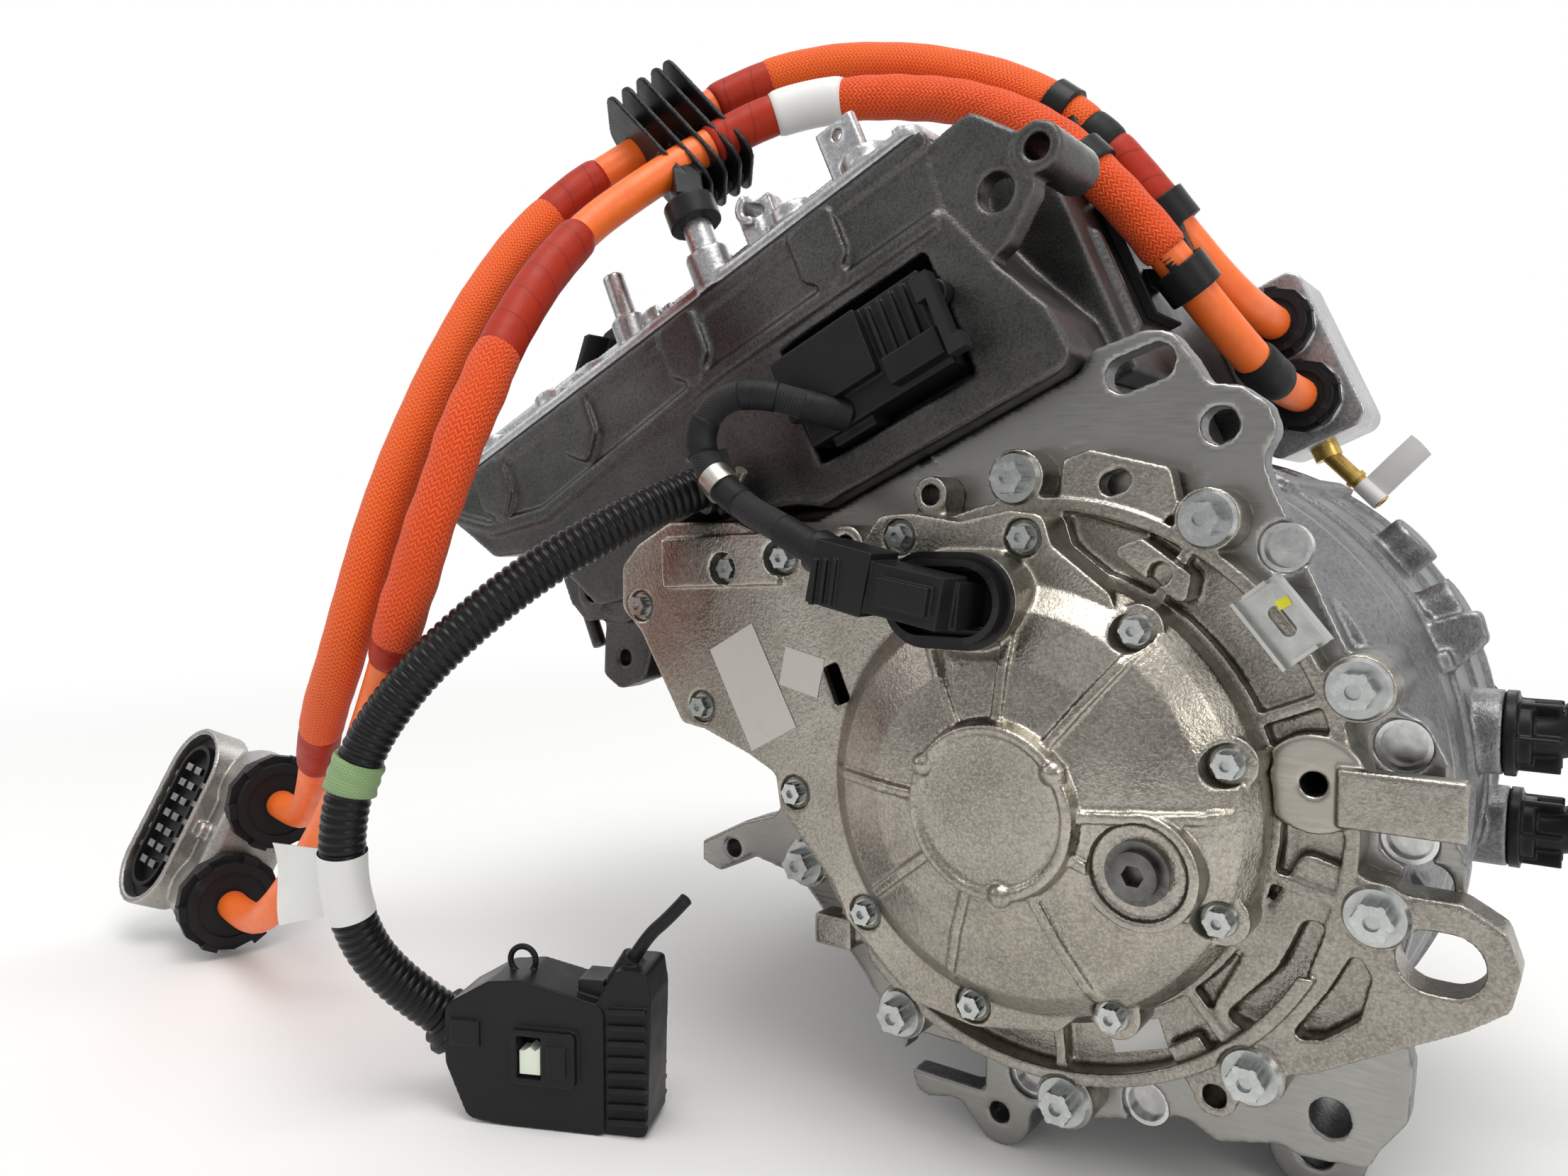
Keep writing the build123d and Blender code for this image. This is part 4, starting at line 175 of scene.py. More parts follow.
buildStudio(studio)
print("stage: camera, lamps and floor")


class Recipe:
    # Small helper round one material's node tree, on Object coordinates
    def __init__(self, name):
        self.finish = bpy.data.materials.new(name)
        self.finish.use_nodes = True
        self.tree = self.finish.node_tree
        self.shader = self.tree.nodes["Principled BSDF"]
        self.coords = self.node("ShaderNodeTexCoord").outputs["Object"]

    def node(self, kind, **settings):
        made = self.tree.nodes.new(kind)
        for key, value in settings.items():
            setattr(made, key, value)
        return made

    def feed(self, socket, value):
        if isinstance(value, bpy.types.NodeSocket):
            self.tree.links.new(value, socket)
        elif isinstance(value, tuple) and len(value) == 3 and socket.type == "RGBA":
            socket.default_value = (*value, 1)
        else:
            socket.default_value = value

    def math(self, operation, a, b=0.0, c=None):
        made = self.node("ShaderNodeMath", operation=operation)
        self.feed(made.inputs[0], a)
        self.feed(made.inputs[1], b)
        if c is not None:
            self.feed(made.inputs[2], c)
        return made.outputs[0]

    def noise(self, scale, detail=3.0, rough=0.55, vector=None, distortion=0.0):
        made = self.node("ShaderNodeTexNoise")
        self.feed(made.inputs["Vector"], vector or self.coords)
        made.inputs["Scale"].default_value = scale
        made.inputs["Detail"].default_value = detail
        made.inputs["Roughness"].default_value = rough
        made.inputs["Distortion"].default_value = distortion
        return made.outputs["Fac"]

    def remap(self, value, low, high, outLow=0.0, outHigh=1.0):
        made = self.node("ShaderNodeMapRange")
        self.feed(made.inputs["Value"], value)
        for key, number in (("From Min", low), ("From Max", high), ("To Min", outLow), ("To Max", outHigh)):
            made.inputs[key].default_value = number
        return made.outputs[0]

    def mix(self, factor, a, b, kind="RGBA"):
        made = self.node("ShaderNodeMix", data_type=kind)
        self.feed(made.inputs["Factor"], factor)
        self.feed(made.inputs["A"], a)
        self.feed(made.inputs["B"], b)
        return made.outputs["Result"]

    def mixVector(self, factor, a, b):
        made = self.node("ShaderNodeMix", data_type="VECTOR")
        for index, value in ((0, factor), (4, a), (5, b)):      # the vector sockets of the mix node
            self.feed(made.inputs[index], value)
        return made.outputs[1]

    def part(self, socket):
        # The separate X, Y and Z of a vector
        made = self.node("ShaderNodeSeparateXYZ")
        self.feed(made.inputs[0], socket)
        return made.outputs

    def route(self):
        # Metres along and turns around, from the piece's own UV map
        return self.part(self.node("ShaderNodeUVMap", uv_map="route").outputs["UV"])

    def bump(self, height, distance, strength=1.0, under=None):
        made = self.node("ShaderNodeBump")
        made.inputs["Strength"].default_value = strength
        made.inputs["Distance"].default_value = distance
        self.feed(made.inputs["Height"], height)
        if under is not None:
            self.feed(made.inputs["Normal"], under)
        return made.outputs["Normal"]

    def stretched(self, scale, turn=(0.0, 0.0, 0.0)):
        made = self.node("ShaderNodeMapping")
        self.feed(made.inputs["Vector"], self.coords)
        made.inputs["Rotation"].default_value = turn
        made.inputs["Scale"].default_value = scale
        return made.outputs["Vector"]

    def edges(self, low=0.52, high=0.6):
        # Bright where the surface is proud: rubbed edges of metal, with a painted highlight along them
        made = self.node("ShaderNodeNewGeometry")
        return self.remap(made.outputs["Pointiness"], low, high)

    def done(self, **values):
        for key, value in values.items():
            self.feed(self.shader.inputs[key.replace("_", " ")], value)
        return self.finish


def toned(colour, share):
    return tuple(min(1.0, c * share) for c in colour)


def castMetal(name, pale, dark, grain, grainDepth, rough, faces=(), milled=None):
    # Die-cast or sand-cast alloy: broad stains, sparkle, pits, and rubbed edges that also carry a painted
    # highlight.
    # Faces: axis, height and reach of the flats that are milled.
    r = Recipe(name)
    broad = r.noise(14.0, 5.0, 0.6)
    blotch = r.noise(60.0, 4.0, 0.65, distortion=0.6)
    sand = r.noise(grain, 2.0, 0.6)
    pits = r.noise(grain * 0.55, 2.0, 0.7)
    colour = r.mix(r.remap(broad, 0.3, 0.7), dark, pale)
    colour = r.mix(r.remap(blotch, 0.52, 0.75, 0.0, 0.45), colour, toned(dark, 0.72))
    colour = r.mix(r.remap(sand, 0.45, 0.6, 0.0, 0.4), colour, toned(pale, 1.3))
    colour = r.mix(r.remap(pits, 0.5, 0.66, 0.0, 0.42), colour, toned(dark, 0.7))
    # Proud edges paler: rubbed metal, with a painted highlight on them
    colour = r.mix(r.math("MULTIPLY", r.edges(), 0.7), colour, toned(pale, 1.3))
    roughness = r.remap(r.noise(45.0, 4.0), 0.3, 0.7, *rough)
    relief = r.bump(r.noise(210.0, 3.0, 0.5), 0.0002, 0.38)
    relief = r.bump(pits, grainDepth * 1.5, 0.6, relief)
    relief = r.bump(sand, grainDepth, 0.8, relief)
    if faces:
        place = r.part(r.coords)
        mask = None
        for axis, height, reach in faces:
            away = r.math("ABSOLUTE", r.math("SUBTRACT", place[axis], height))
            near = r.math("LESS_THAN", away, reach)
            mask = near if mask is None else r.math("MAXIMUM", mask, near)
        lines = r.noise(1.0, 3.0, 0.6, r.stretched((60.0, 60.0, 800.0), (0.0, 0.45, 0.0)))
        plain = milled or toned(pale, 1.2)
        bright = r.mix(r.remap(lines, 0.35, 0.65, 0.0, 0.22), plain, toned(plain, 0.6))
        bright = r.mix(r.remap(broad, 0.4, 0.65, 0.0, 0.4), bright, toned(plain, 0.7))
        colour = r.mix(mask, colour, bright)
        roughness = r.mix(mask, roughness, r.remap(lines, 0.3, 0.7, 0.26, 0.38), "FLOAT")
        relief = r.mixVector(mask, relief, r.bump(r.noise(160.0, 3.0), 0.00006, 0.4))
    return r.done(Base_Color=colour, Roughness=roughness, Metallic=1.0, Normal=relief)


def platedMetal(name, pale, dark, rough):
    # Zinc, steel, brass or copper with a light mottling, and a few rubbed corners that also carry a painted
    # highlight
    r = Recipe(name)
    colour = r.mix(r.remap(r.noise(120.0, 4.0, 0.6), 0.35, 0.65), dark, pale)
    # Proud corners paler: rubbed metal, with a painted highlight on them
    colour = r.mix(r.math("MULTIPLY", r.edges(0.53, 0.62), 0.6), colour, toned(pale, 1.35))
    relief = r.bump(r.noise(700.0, 3.0), 0.00003, 0.5)
    roughness = r.remap(r.noise(260.0, 3.0), 0.3, 0.7, *rough)
    return r.done(Base_Color=colour, Roughness=roughness, Metallic=1.0, Normal=relief)


def turnedSteel(name, pale, dark):
    # Ground or turned steel with fine rings round the shaft line
    r = Recipe(name)
    lines = r.noise(1.0, 3.0, 0.6, r.stretched((30.0, 2600.0, 30.0)))
    colour = r.mix(r.remap(lines, 0.3, 0.7), dark, pale)
    roughness = r.remap(lines, 0.3, 0.7, 0.2, 0.34)
    return r.done(Base_Color=colour, Roughness=roughness, Metallic=1.0, Normal=r.bump(lines, 0.00001, 0.4))


def mouldedPlastic(name, colour, rough, grain, depth, dust):
    # Injection-moulded plastic: fine erosion grain, faint flow and dust on the open faces
    r = Recipe(name)
    flow = r.noise(18.0, 3.0, 0.5)
    dusty = tuple(c * 0.8 + 0.012 for c in colour)
    tone = r.mix(r.remap(flow, 0.4, 0.7, 0.0, dust), colour, dusty)
    # Proud edges a little paler: rubbed plastic, with a painted highlight on them
    tone = r.mix(r.math("MULTIPLY", r.edges(0.53, 0.62), 0.35), tone, tuple(c + 0.025 for c in colour))
    relief = r.bump(r.noise(grain, 2.0), depth, 0.7)
    roughness = r.remap(r.noise(70.0, 4.0), 0.3, 0.7, *rough)
    return r.done(Base_Color=tone, Roughness=roughness, Normal=relief, Specular_IOR_Level=0.22)


def jacketRubber(name, colour, shade):
    # Smooth extruded jacket with faint draw lines and scuffs
    r = Recipe(name)
    scuff = r.noise(90.0, 5.0, 0.7)
    tone = r.mix(r.remap(scuff, 0.45, 0.75, 0.0, 0.5), colour, shade)
    relief = r.bump(r.noise(420.0, 2.0), 0.00003, 0.5)
    return r.done(Base_Color=tone, Roughness=r.remap(scuff, 0.3, 0.7, 0.34, 0.5), Normal=relief)


def wovenSleeve(name, colour, deep, columns, pitch, depth, loose):
    # Herringbone braid: V-shaped stitches, a pitch long, in columns along the sleeve
    r = Recipe(name)
    route = r.route()
    wobble = r.math("MULTIPLY", r.math("SUBTRACT", r.noise(55.0, 3.0), 0.5), loose)
    around = r.math("ADD", r.math("MULTIPLY", route["Y"], columns), wobble)
    fold = r.math("ABSOLUTE", r.math("SUBTRACT", r.math("FRACT", around), 0.5))
    along = r.math("ADD", r.math("DIVIDE", route["X"], pitch), r.math("MULTIPLY", fold, 1.7))
    thread = r.math("MULTIPLY_ADD", r.math("SINE", r.math("MULTIPLY", along, 2 * math.pi)), 0.5, 0.5)
    seam = r.remap(fold, 0.0, 0.16)
    rib = r.remap(fold, 0.5, 0.36)
    height = r.math("MULTIPLY", thread, r.math("MULTIPLY_ADD", r.math("MULTIPLY", seam, rib), 0.6, 0.4))
    # Deep colour down between the stitches: painted shade in the valleys of the braid
    tone = r.mix(r.remap(height, 0.05, 0.75), deep, colour)
    tone = r.mix(r.remap(r.noise(40.0, 4.0), 0.4, 0.75, 0.0, 0.35), tone, toned(colour, 0.8))
    relief = r.bump(height, depth, 0.85)
    relief = r.bump(r.noise(2400.0, 2.0), 0.00005, 0.5, relief)
    return r.done(Base_Color=tone, Roughness=0.62, Normal=relief, Specular_IOR_Level=0.25, Sheen_Weight=0.08,
                  Sheen_Roughness=0.5)


def woundTape(name, colour, deep, width, rough):
    # Adhesive cloth tape wound in overlapping turns
    r = Recipe(name)
    route = r.route()
    waver = r.math("MULTIPLY", r.math("SUBTRACT", r.noise(80.0, 3.0), 0.5), 0.25)
    turns = r.math("ADD", r.math("DIVIDE", route["X"], width), route["Y"])
    step = r.math("FRACT", r.math("ADD", turns, waver))
    tone = r.mix(r.remap(step, 0.0, 0.09), deep, colour)
    tone = r.mix(r.remap(r.noise(130.0, 4.0), 0.5, 0.8, 0.0, 0.4), tone, deep)
    relief = r.bump(r.math("MULTIPLY", step, -1.0), 0.0006, 0.6)
    relief = r.bump(r.noise(1100.0, 2.0), 0.00006, 0.6, relief)
    roughness = r.remap(r.noise(150.0, 3.0), 0.3, 0.7, *rough)
    return r.done(Base_Color=tone, Roughness=roughness, Normal=relief, Specular_IOR_Level=0.22)


def paperLabel(name, colour):
    # Blank paper or film label with soft creases
    r = Recipe(name)
    crease = r.noise(55.0, 4.0, 0.6, distortion=1.2)
    tone = r.mix(r.remap(crease, 0.55, 0.8, 0.0, 0.35), colour, toned(colour, 0.82))
    relief = r.bump(crease, 0.0004, 0.5)
    return r.done(Base_Color=tone, Roughness=0.42, Normal=relief)


def laminated(name, pale, dark):
    # Stacked electrical sheet, one line for each lamination along the shaft
    r = Recipe(name)
    sheets = r.math("FRACT", r.math("MULTIPLY", r.part(r.coords)["Y"], 1200.0))
    tone = r.mix(r.remap(sheets, 0.0, 0.25), dark, pale)
    return r.done(Base_Color=tone, Roughness=0.5, Metallic=0.9, Normal=r.bump(sheets, 0.00004, 0.5))


def circuitBoard(name, track, gap):
    r = Recipe(name)
    cells = r.node("ShaderNodeTexVoronoi", distance="CHEBYCHEV")
    r.feed(cells.inputs["Vector"], r.coords)
    cells.inputs["Scale"].default_value = 130.0
    tracks = r.remap(cells.outputs["Distance"], 0.3, 0.36)
    roughness = r.remap(r.noise(200.0), 0.3, 0.7, 0.28, 0.45)
    relief = r.bump(tracks, 0.00004, 0.5)
    return r.done(Base_Color=r.mix(tracks, gap, track), Roughness=roughness, Normal=relief)


# name: kind, and what that kind takes after its name: colours, grain, roughness and the rest
recipes = {
    "coverCast": (castMetal, (0.44, 0.412, 0.36), (0.24, 0.222, 0.188), 760.0, 0.00022, (0.22, 0.36)),
    "shieldCast": (castMetal, (0.385, 0.36, 0.318), (0.21, 0.196, 0.168), 740.0, 0.00022, (0.24, 0.38),
                   [("Y", -0.157, 0.0006)]),
    "jacketCast": (castMetal, (0.26, 0.263, 0.266), (0.155, 0.158, 0.162), 700.0, 0.00025, (0.36, 0.52),
                   [("Y", -0.135, 0.0006), ("Y", -0.089, 0.0006), ("X", 0.27329, 0.0006)],
                   (0.36, 0.355, 0.335)),
    "inverterCast": (castMetal, (0.115, 0.113, 0.109), (0.055, 0.054, 0.052), 900.0, 0.00016, (0.32, 0.48)),
    "lidCast": (castMetal, (0.5, 0.5, 0.5), (0.34, 0.34, 0.345), 500.0, 0.00012, (0.26, 0.42)),
    "gearCast": (castMetal, (0.34, 0.34, 0.335), (0.22, 0.22, 0.22), 700.0, 0.00024, (0.4, 0.56)),
    "plugCast": (castMetal, (0.48, 0.46, 0.43), (0.32, 0.31, 0.29), 900.0, 0.00012, (0.3, 0.46)),
    "zincBolt": (platedMetal, (0.5, 0.515, 0.505), (0.39, 0.405, 0.4), (0.22, 0.36)),
    "brightSteel": (platedMetal, (0.58, 0.58, 0.57), (0.4, 0.4, 0.4), (0.16, 0.28)),
    "darkSteel": (platedMetal, (0.16, 0.155, 0.15), (0.08, 0.078, 0.075), (0.3, 0.42)),
    "foldedSheet": (platedMetal, (0.5, 0.5, 0.48), (0.36, 0.36, 0.35), (0.26, 0.4)),
    "bandSteel": (platedMetal, (0.55, 0.53, 0.47), (0.4, 0.385, 0.34), (0.28, 0.42)),
    "brassTube": (platedMetal, (0.62, 0.43, 0.13), (0.42, 0.27, 0.07), (0.22, 0.38)),
    "groundSteel": (turnedSteel, (0.5, 0.5, 0.51), (0.36, 0.36, 0.37)),
    "copperWire": (platedMetal, (0.62, 0.27, 0.12), (0.42, 0.15, 0.06), (0.3, 0.45)),
    "coreSheet": (laminated, (0.3, 0.3, 0.31), (0.12, 0.12, 0.13)),
    "carbonBlock": (mouldedPlastic, (0.03, 0.03, 0.032), (0.5, 0.65), 1800.0, 0.00004, 0.1),
    "satinBlack": (mouldedPlastic, (0.009, 0.009, 0.01), (0.3, 0.44), 1500.0, 0.00003, 0.25),
    "glossBlack": (mouldedPlastic, (0.008, 0.008, 0.009), (0.16, 0.28), 900.0, 0.000015, 0.2),
    "ribbedBlack": (mouldedPlastic, (0.007, 0.007, 0.008), (0.2, 0.34), 1100.0, 0.00002, 0.3),
    "nutBlack": (mouldedPlastic, (0.01, 0.01, 0.0115), (0.4, 0.55), 1300.0, 0.00005, 0.35),
    "paleInsert": (mouldedPlastic, (0.72, 0.78, 0.66), (0.35, 0.5), 1400.0, 0.00002, 0.2),
    "board": (circuitBoard, (0.02, 0.11, 0.045), (0.008, 0.05, 0.02)),
    "pottedBlack": (mouldedPlastic, (0.02, 0.022, 0.026), (0.3, 0.4), 900.0, 0.00003, 0.2),
    "sealRubber": (mouldedPlastic, (0.015, 0.015, 0.016), (0.55, 0.7), 1600.0, 0.00004, 0.2),
    "orangeJacket": (jacketRubber, (0.86, 0.155, 0.018), (0.7, 0.1, 0.012)),
    "orangeBraid": (wovenSleeve, (0.9, 0.145, 0.015), (0.55, 0.055, 0.008), 20.0, 0.0026, 0.0004, 0.0),
    "redBraid": (wovenSleeve, (0.88, 0.105, 0.012), (0.5, 0.04, 0.006), 18.0, 0.003, 0.0006, 1.1),
    "blackBraid": (wovenSleeve, (0.02, 0.02, 0.023), (0.003, 0.003, 0.004), 18.0, 0.0017, 0.0002, 0.0),
    "greenBand": (wovenSleeve, (0.3, 0.43, 0.21), (0.17, 0.27, 0.12), 36.0, 0.0016, 0.00025, 0.5),
    "redTape": (woundTape, (0.36, 0.022, 0.006), (0.2, 0.012, 0.004), 0.018, (0.4, 0.55)),
    "blackTape": (woundTape, (0.012, 0.012, 0.014), (0.004, 0.004, 0.005), 0.013, (0.45, 0.6)),
    "whiteLabel": (paperLabel, (0.68, 0.68, 0.67)),
    "silverLabel": (paperLabel, (0.5, 0.47, 0.44)),
    "yellowDot": (paperLabel, (0.75, 0.7, 0.02)),
}
finishes = {name: make(name, *values) for name, (make, *values) in recipes.items()}
print("stage:", len(finishes), "finishes")

joinWithin = 2e-6       # metres


def heldObject(name, data):
    holder = bpy.data.objects.new(name, data)
    shown.link(holder)
    return holder


def dress(mesh, finish):
    mesh.materials.clear()
    mesh.materials.append(finishes[finish])


def addPiece(name, mesh, finish):
    piece = heldObject(name, mesh)
    dress(mesh, finish)
    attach(piece, "unit")
    return piece


def smoothAll(mesh):
    mesh.polygons.foreach_set("use_smooth", [True] * len(mesh.polygons))
    mesh.update()


def evaluatedMesh(holder):
    graph = bpy.context.evaluated_depsgraph_get()
    mesh = bpy.data.meshes.new_from_object(holder.evaluated_get(graph))
    bpy.data.objects.remove(holder)
    return mesh


def workCopy(node):
    # A copy of the node's mesh, with its loose triangles joined
    mesh = cadNodes[node].data.copy()
    work = bmesh.new()
    work.from_mesh(mesh)
    bmesh.ops.remove_doubles(work, verts=work.verts, dist=joinWithin)
    work.to_mesh(mesh)
    work.free()
    return heldObject(node + "Work", mesh)


def softened(node, finish, voxel, turns, most, slot):
    # A copy of the node with the rounded corners that a casting or moulding has
    holder = workCopy(node)
    cells = holder.modifiers.new("cells", "REMESH")
    cells.mode = "VOXEL"
    cells.voxel_size = voxel
    cling = holder.modifiers.new("cling", "SHRINKWRAP")      # flat faces stay flat, only the edges round off
    cling.target = cadNodes[node]
    rounding = holder.modifiers.new("round", "SMOOTH")
    rounding.factor = 0.5
    rounding.iterations = turns
    mesh = evaluatedMesh(holder)
    triangles = sum(len(p.vertices) - 2 for p in mesh.polygons)
    if triangles > most:
        holder = heldObject(node + "Thin", mesh)
        thin = holder.modifiers.new("thin", "DECIMATE")
        thin.ratio = most / triangles
        mesh = evaluatedMesh(holder)
    smoothAll(mesh)
    piece = addPiece(node + "Shape", mesh, finish)
    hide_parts(node)
    print("shape:", node, len(mesh.polygons))
    return piece


def creased(node, finish, width):
    # A copy of the node with narrow rounded edges and smooth turned faces
    holder = workCopy(node)
    edge = holder.modifiers.new("edge", "BEVEL")
    edge.width = width
    edge.segments = 2
    edge.limit_method = "ANGLE"
    edge.angle_limit = math.radians(32)
    weigh = holder.modifiers.new("weigh", "WEIGHTED_NORMAL")
    weigh.weight = 90
    smoothAll(holder.data)
    mesh = evaluatedMesh(holder)
    piece = addPiece(node + "Edged", mesh, finish)
    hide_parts(node)
    return piece


def tubeMesh(name, line, radiusAt, sides=32, capped=True):
    # Tube round a line of points, with its own UV map: metres along, and turns around
    line = [Vector(p) for p in line]
    forward = [(b - a).normalized() for a, b in zip(line, line[1:])]
    tangents = [forward[0]] + [(a + b).normalized() for a, b in zip(forward, forward[1:])] + [forward[-1]]
    side = tangents[0].orthogonal().normalized()
    vertices, faces, uvs = [], [], []
    travelled = [0.0]
    for a, b in zip(line, line[1:]):
        travelled.append(travelled[-1] + (b - a).length)
    for i, (centre, tangent) in enumerate(zip(line, tangents)):
        side = (side - tangent * side.dot(tangent)).normalized()
        other = tangent.cross(side)
        for j in range(sides):
            turn = 2 * math.pi * j / sides
            radius = radiusAt(travelled[i], turn)
            vertices.append(centre + (side * math.cos(turn) + other * math.sin(turn)) * radius)
    for i in range(len(line) - 1):
        for j in range(sides):
            k = (j + 1) % sides
            faces.append((i * sides + j, i * sides + k, (i + 1) * sides + k, (i + 1) * sides + j))
            uvs += [(travelled[i], j / sides), (travelled[i], (j + 1) / sides),
                    (travelled[i + 1], (j + 1) / sides), (travelled[i + 1], j / sides)]
    if capped:
        last = (len(line) - 1) * sides
        faces.append(tuple(reversed(range(sides))))
        faces.append(tuple(range(last, last + sides)))
        uvs += [(0.0, j / sides) for j in reversed(range(sides))]
        uvs += [(travelled[-1], j / sides) for j in range(sides)]
    mesh = bpy.data.meshes.new(name)
    mesh.from_pydata(vertices, [], faces)
    layer = mesh.uv_layers.new(name="route")
    layer.data.foreach_set("uv", [number for pair in uvs for number in pair])
    smoothAll(mesh)
    return mesh


leads = {
    "jacketRadius": 0.010,
    # finish: radius of the sleeve, and how far it swells
    "sleeves": {"orangeBraid": (0.0121, 0.00022), "redBraid": (0.0121, 0.0007), "redTape": (0.0117, 0.0002),
                "blackTape": (0.0121, 0.0002), "whiteLabel": (0.0132, 0.0)},
    "endDip": (0.0012, 0.002),      # how far the ends of a sleeve draw in, and over what length
    "seeds": {"outer": 11, "inner": 31},
    "outer": [(0.14328, 0.08, 0.42521), (0.14328, 0.05, 0.42521), (0.13529, 0.017, 0.435),
              (0.11929, -0.005, 0.459), (0.10029, -0.016, 0.488), (0.07629, -0.024, 0.519),
              (0.03329, -0.031, 0.553), (-0.03771, -0.037, 0.581), (-0.10171, -0.057, 0.586),
              (-0.14271, -0.09, 0.564), (-0.16971, -0.127, 0.53), (-0.19471, -0.165, 0.498),
              (-0.20171, -0.21, 0.448), (-0.19971, -0.25, 0.389), (-0.20171, -0.28, 0.329),
              (-0.20971, -0.294, 0.277), (-0.22771, -0.296, 0.235), (-0.26871, -0.283, 0.197),
              (-0.31471, -0.259, 0.156), (-0.36771, -0.233, 0.122), (-0.42184, -0.20764, 0.10421),
              (-0.46259, -0.19748, 0.10421)],
    "inner": [(0.15871, 0.08, 0.38169), (0.15871, 0.05, 0.38169), (0.15129, 0.013, 0.393),
              (0.13529, -0.016, 0.419), (0.11529, -0.033, 0.451), (0.09329, -0.047, 0.481),
              (0.06529, -0.053, 0.511), (0.02329, -0.056, 0.537), (-0.02771, -0.061, 0.552),
              (-0.08671, -0.079, 0.555), (-0.12571, -0.112, 0.531), (-0.14571, -0.15, 0.5),
              (-0.16071, -0.185, 0.47), (-0.15371, -0.23, 0.426), (-0.14671, -0.267, 0.375),
              (-0.15271, -0.287, 0.323), (-0.17371, -0.292, 0.273), (-0.20171, -0.287, 0.227),
              (-0.24471, -0.274, 0.181), (-0.28671, -0.265, 0.138), (-0.32771, -0.262, 0.095),
              (-0.37571, -0.256, 0.057), (-0.43008, -0.24068, 0.03739), (-0.47083, -0.23052, 0.03739)],
    # finish, share of the length where it starts and ends
    "outerSleeves": [("redTape", 0.1, 0.146), ("blackTape", 0.145, 0.162), ("orangeBraid", 0.16, 0.346),
                     ("redTape", 0.34, 0.377), ("redTape", 0.452, 0.492), ("orangeBraid", 0.487, 0.802),
                     ("redTape", 0.797, 0.836)],
    "innerSleeves": [("blackTape", 0.035, 0.06), ("redBraid", 0.125, 0.314), ("whiteLabel", 0.31, 0.346),
                     ("redTape", 0.344, 0.382), ("redTape", 0.468, 0.556), ("redBraid", 0.55, 0.69),
                     ("redTape", 0.686, 0.7)],
}


def nurbsLine(name, points):
    curve = bpy.data.curves.new(name, "CURVE")
    curve.dimensions = "3D"
    curve.resolution_u = 14
    spline = curve.splines.new("NURBS")
    spline.points.add(len(points) - 1)
    for knot, place in zip(spline.points, points):
        knot.co = (*place, 1.0)
    spline.order_u = 3
    spline.use_endpoint_u = True
    return curve


def pointsOf(curve):
    # The points of a curve's own line, without its thickness
    holder = heldObject("lineWork", curve.copy())
    holder.data.bevel_depth = 0.0
    mesh = evaluatedMesh(holder)
    return [v.co.copy() for v in mesh.vertices]


def runsOf(line):
    return [(b - a).length for a, b in zip(line, line[1:])]


def stretchOf(line, start, end, step=0.0025):
    # The part of a line between two shares of its length, at even steps
    runs = runsOf(line)
    total = sum(runs)
    marks = np.cumsum([0.0] + runs)
    count = max(3, int((end - start) * total / step))
    wanted = np.linspace(start * total, end * total, count)
    return [Vector([np.interp(w, marks, [p[k] for p in line]) for k in range(3)]) for w in wanted]


def lumps(seed, size):
    # Slow irregular swelling of a sleeve, the same each run
    phases = np.random.default_rng(seed).uniform(0, 6.28, 6)

    def swell(travel, turn):
        a = math.sin(travel * 130 + phases[0]) * math.sin(turn + phases[1])
        b = math.sin(travel * 61 + phases[2]) * math.sin(2 * turn + phases[3])
        return size * (0.6 * a + 0.4 * b + 0.3 * math.sin(travel * 300 + 3 * turn + phases[4]))
    return swell


def sleeveRadius(finish, seed, length):
    base, size = leads["sleeves"][finish]
    dip, reach = leads["endDip"]
    swell = lumps(seed, size)

    def radiusAt(travel, turn):
        nearEnd = min(travel, length - travel)
        return base + swell(travel, turn) - dip * math.exp(-nearEnd / reach)
    return radiusAt


def roundCord(name, points, radius, rings, finish, node):
    curve = nurbsLine(name, points)
    curve.bevel_depth = radius
    curve.bevel_resolution = rings
    curve.use_fill_caps = True
    line = pointsOf(curve)
    curve.materials.append(finishes[finish])
    cord = heldObject(name, curve)
    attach(cord, "unit")
    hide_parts(node)
    return cord, line


def dressLead(which):
    seed = leads["seeds"][which]
    jacket, line = roundCord(which + "Lead", leads[which], leads["jacketRadius"], 7, "orangeJacket",
                             "hv_lead_" + which)
    for i, (finish, start, end) in enumerate(leads[which + "Sleeves"]):
        part = stretchOf(line, start, end)
        mesh = tubeMesh(which + "Sleeve", part, sleeveRadius(finish, seed + i, sum(runsOf(part))))
        addPiece(f"{which}Sleeve{i}", mesh, finish)


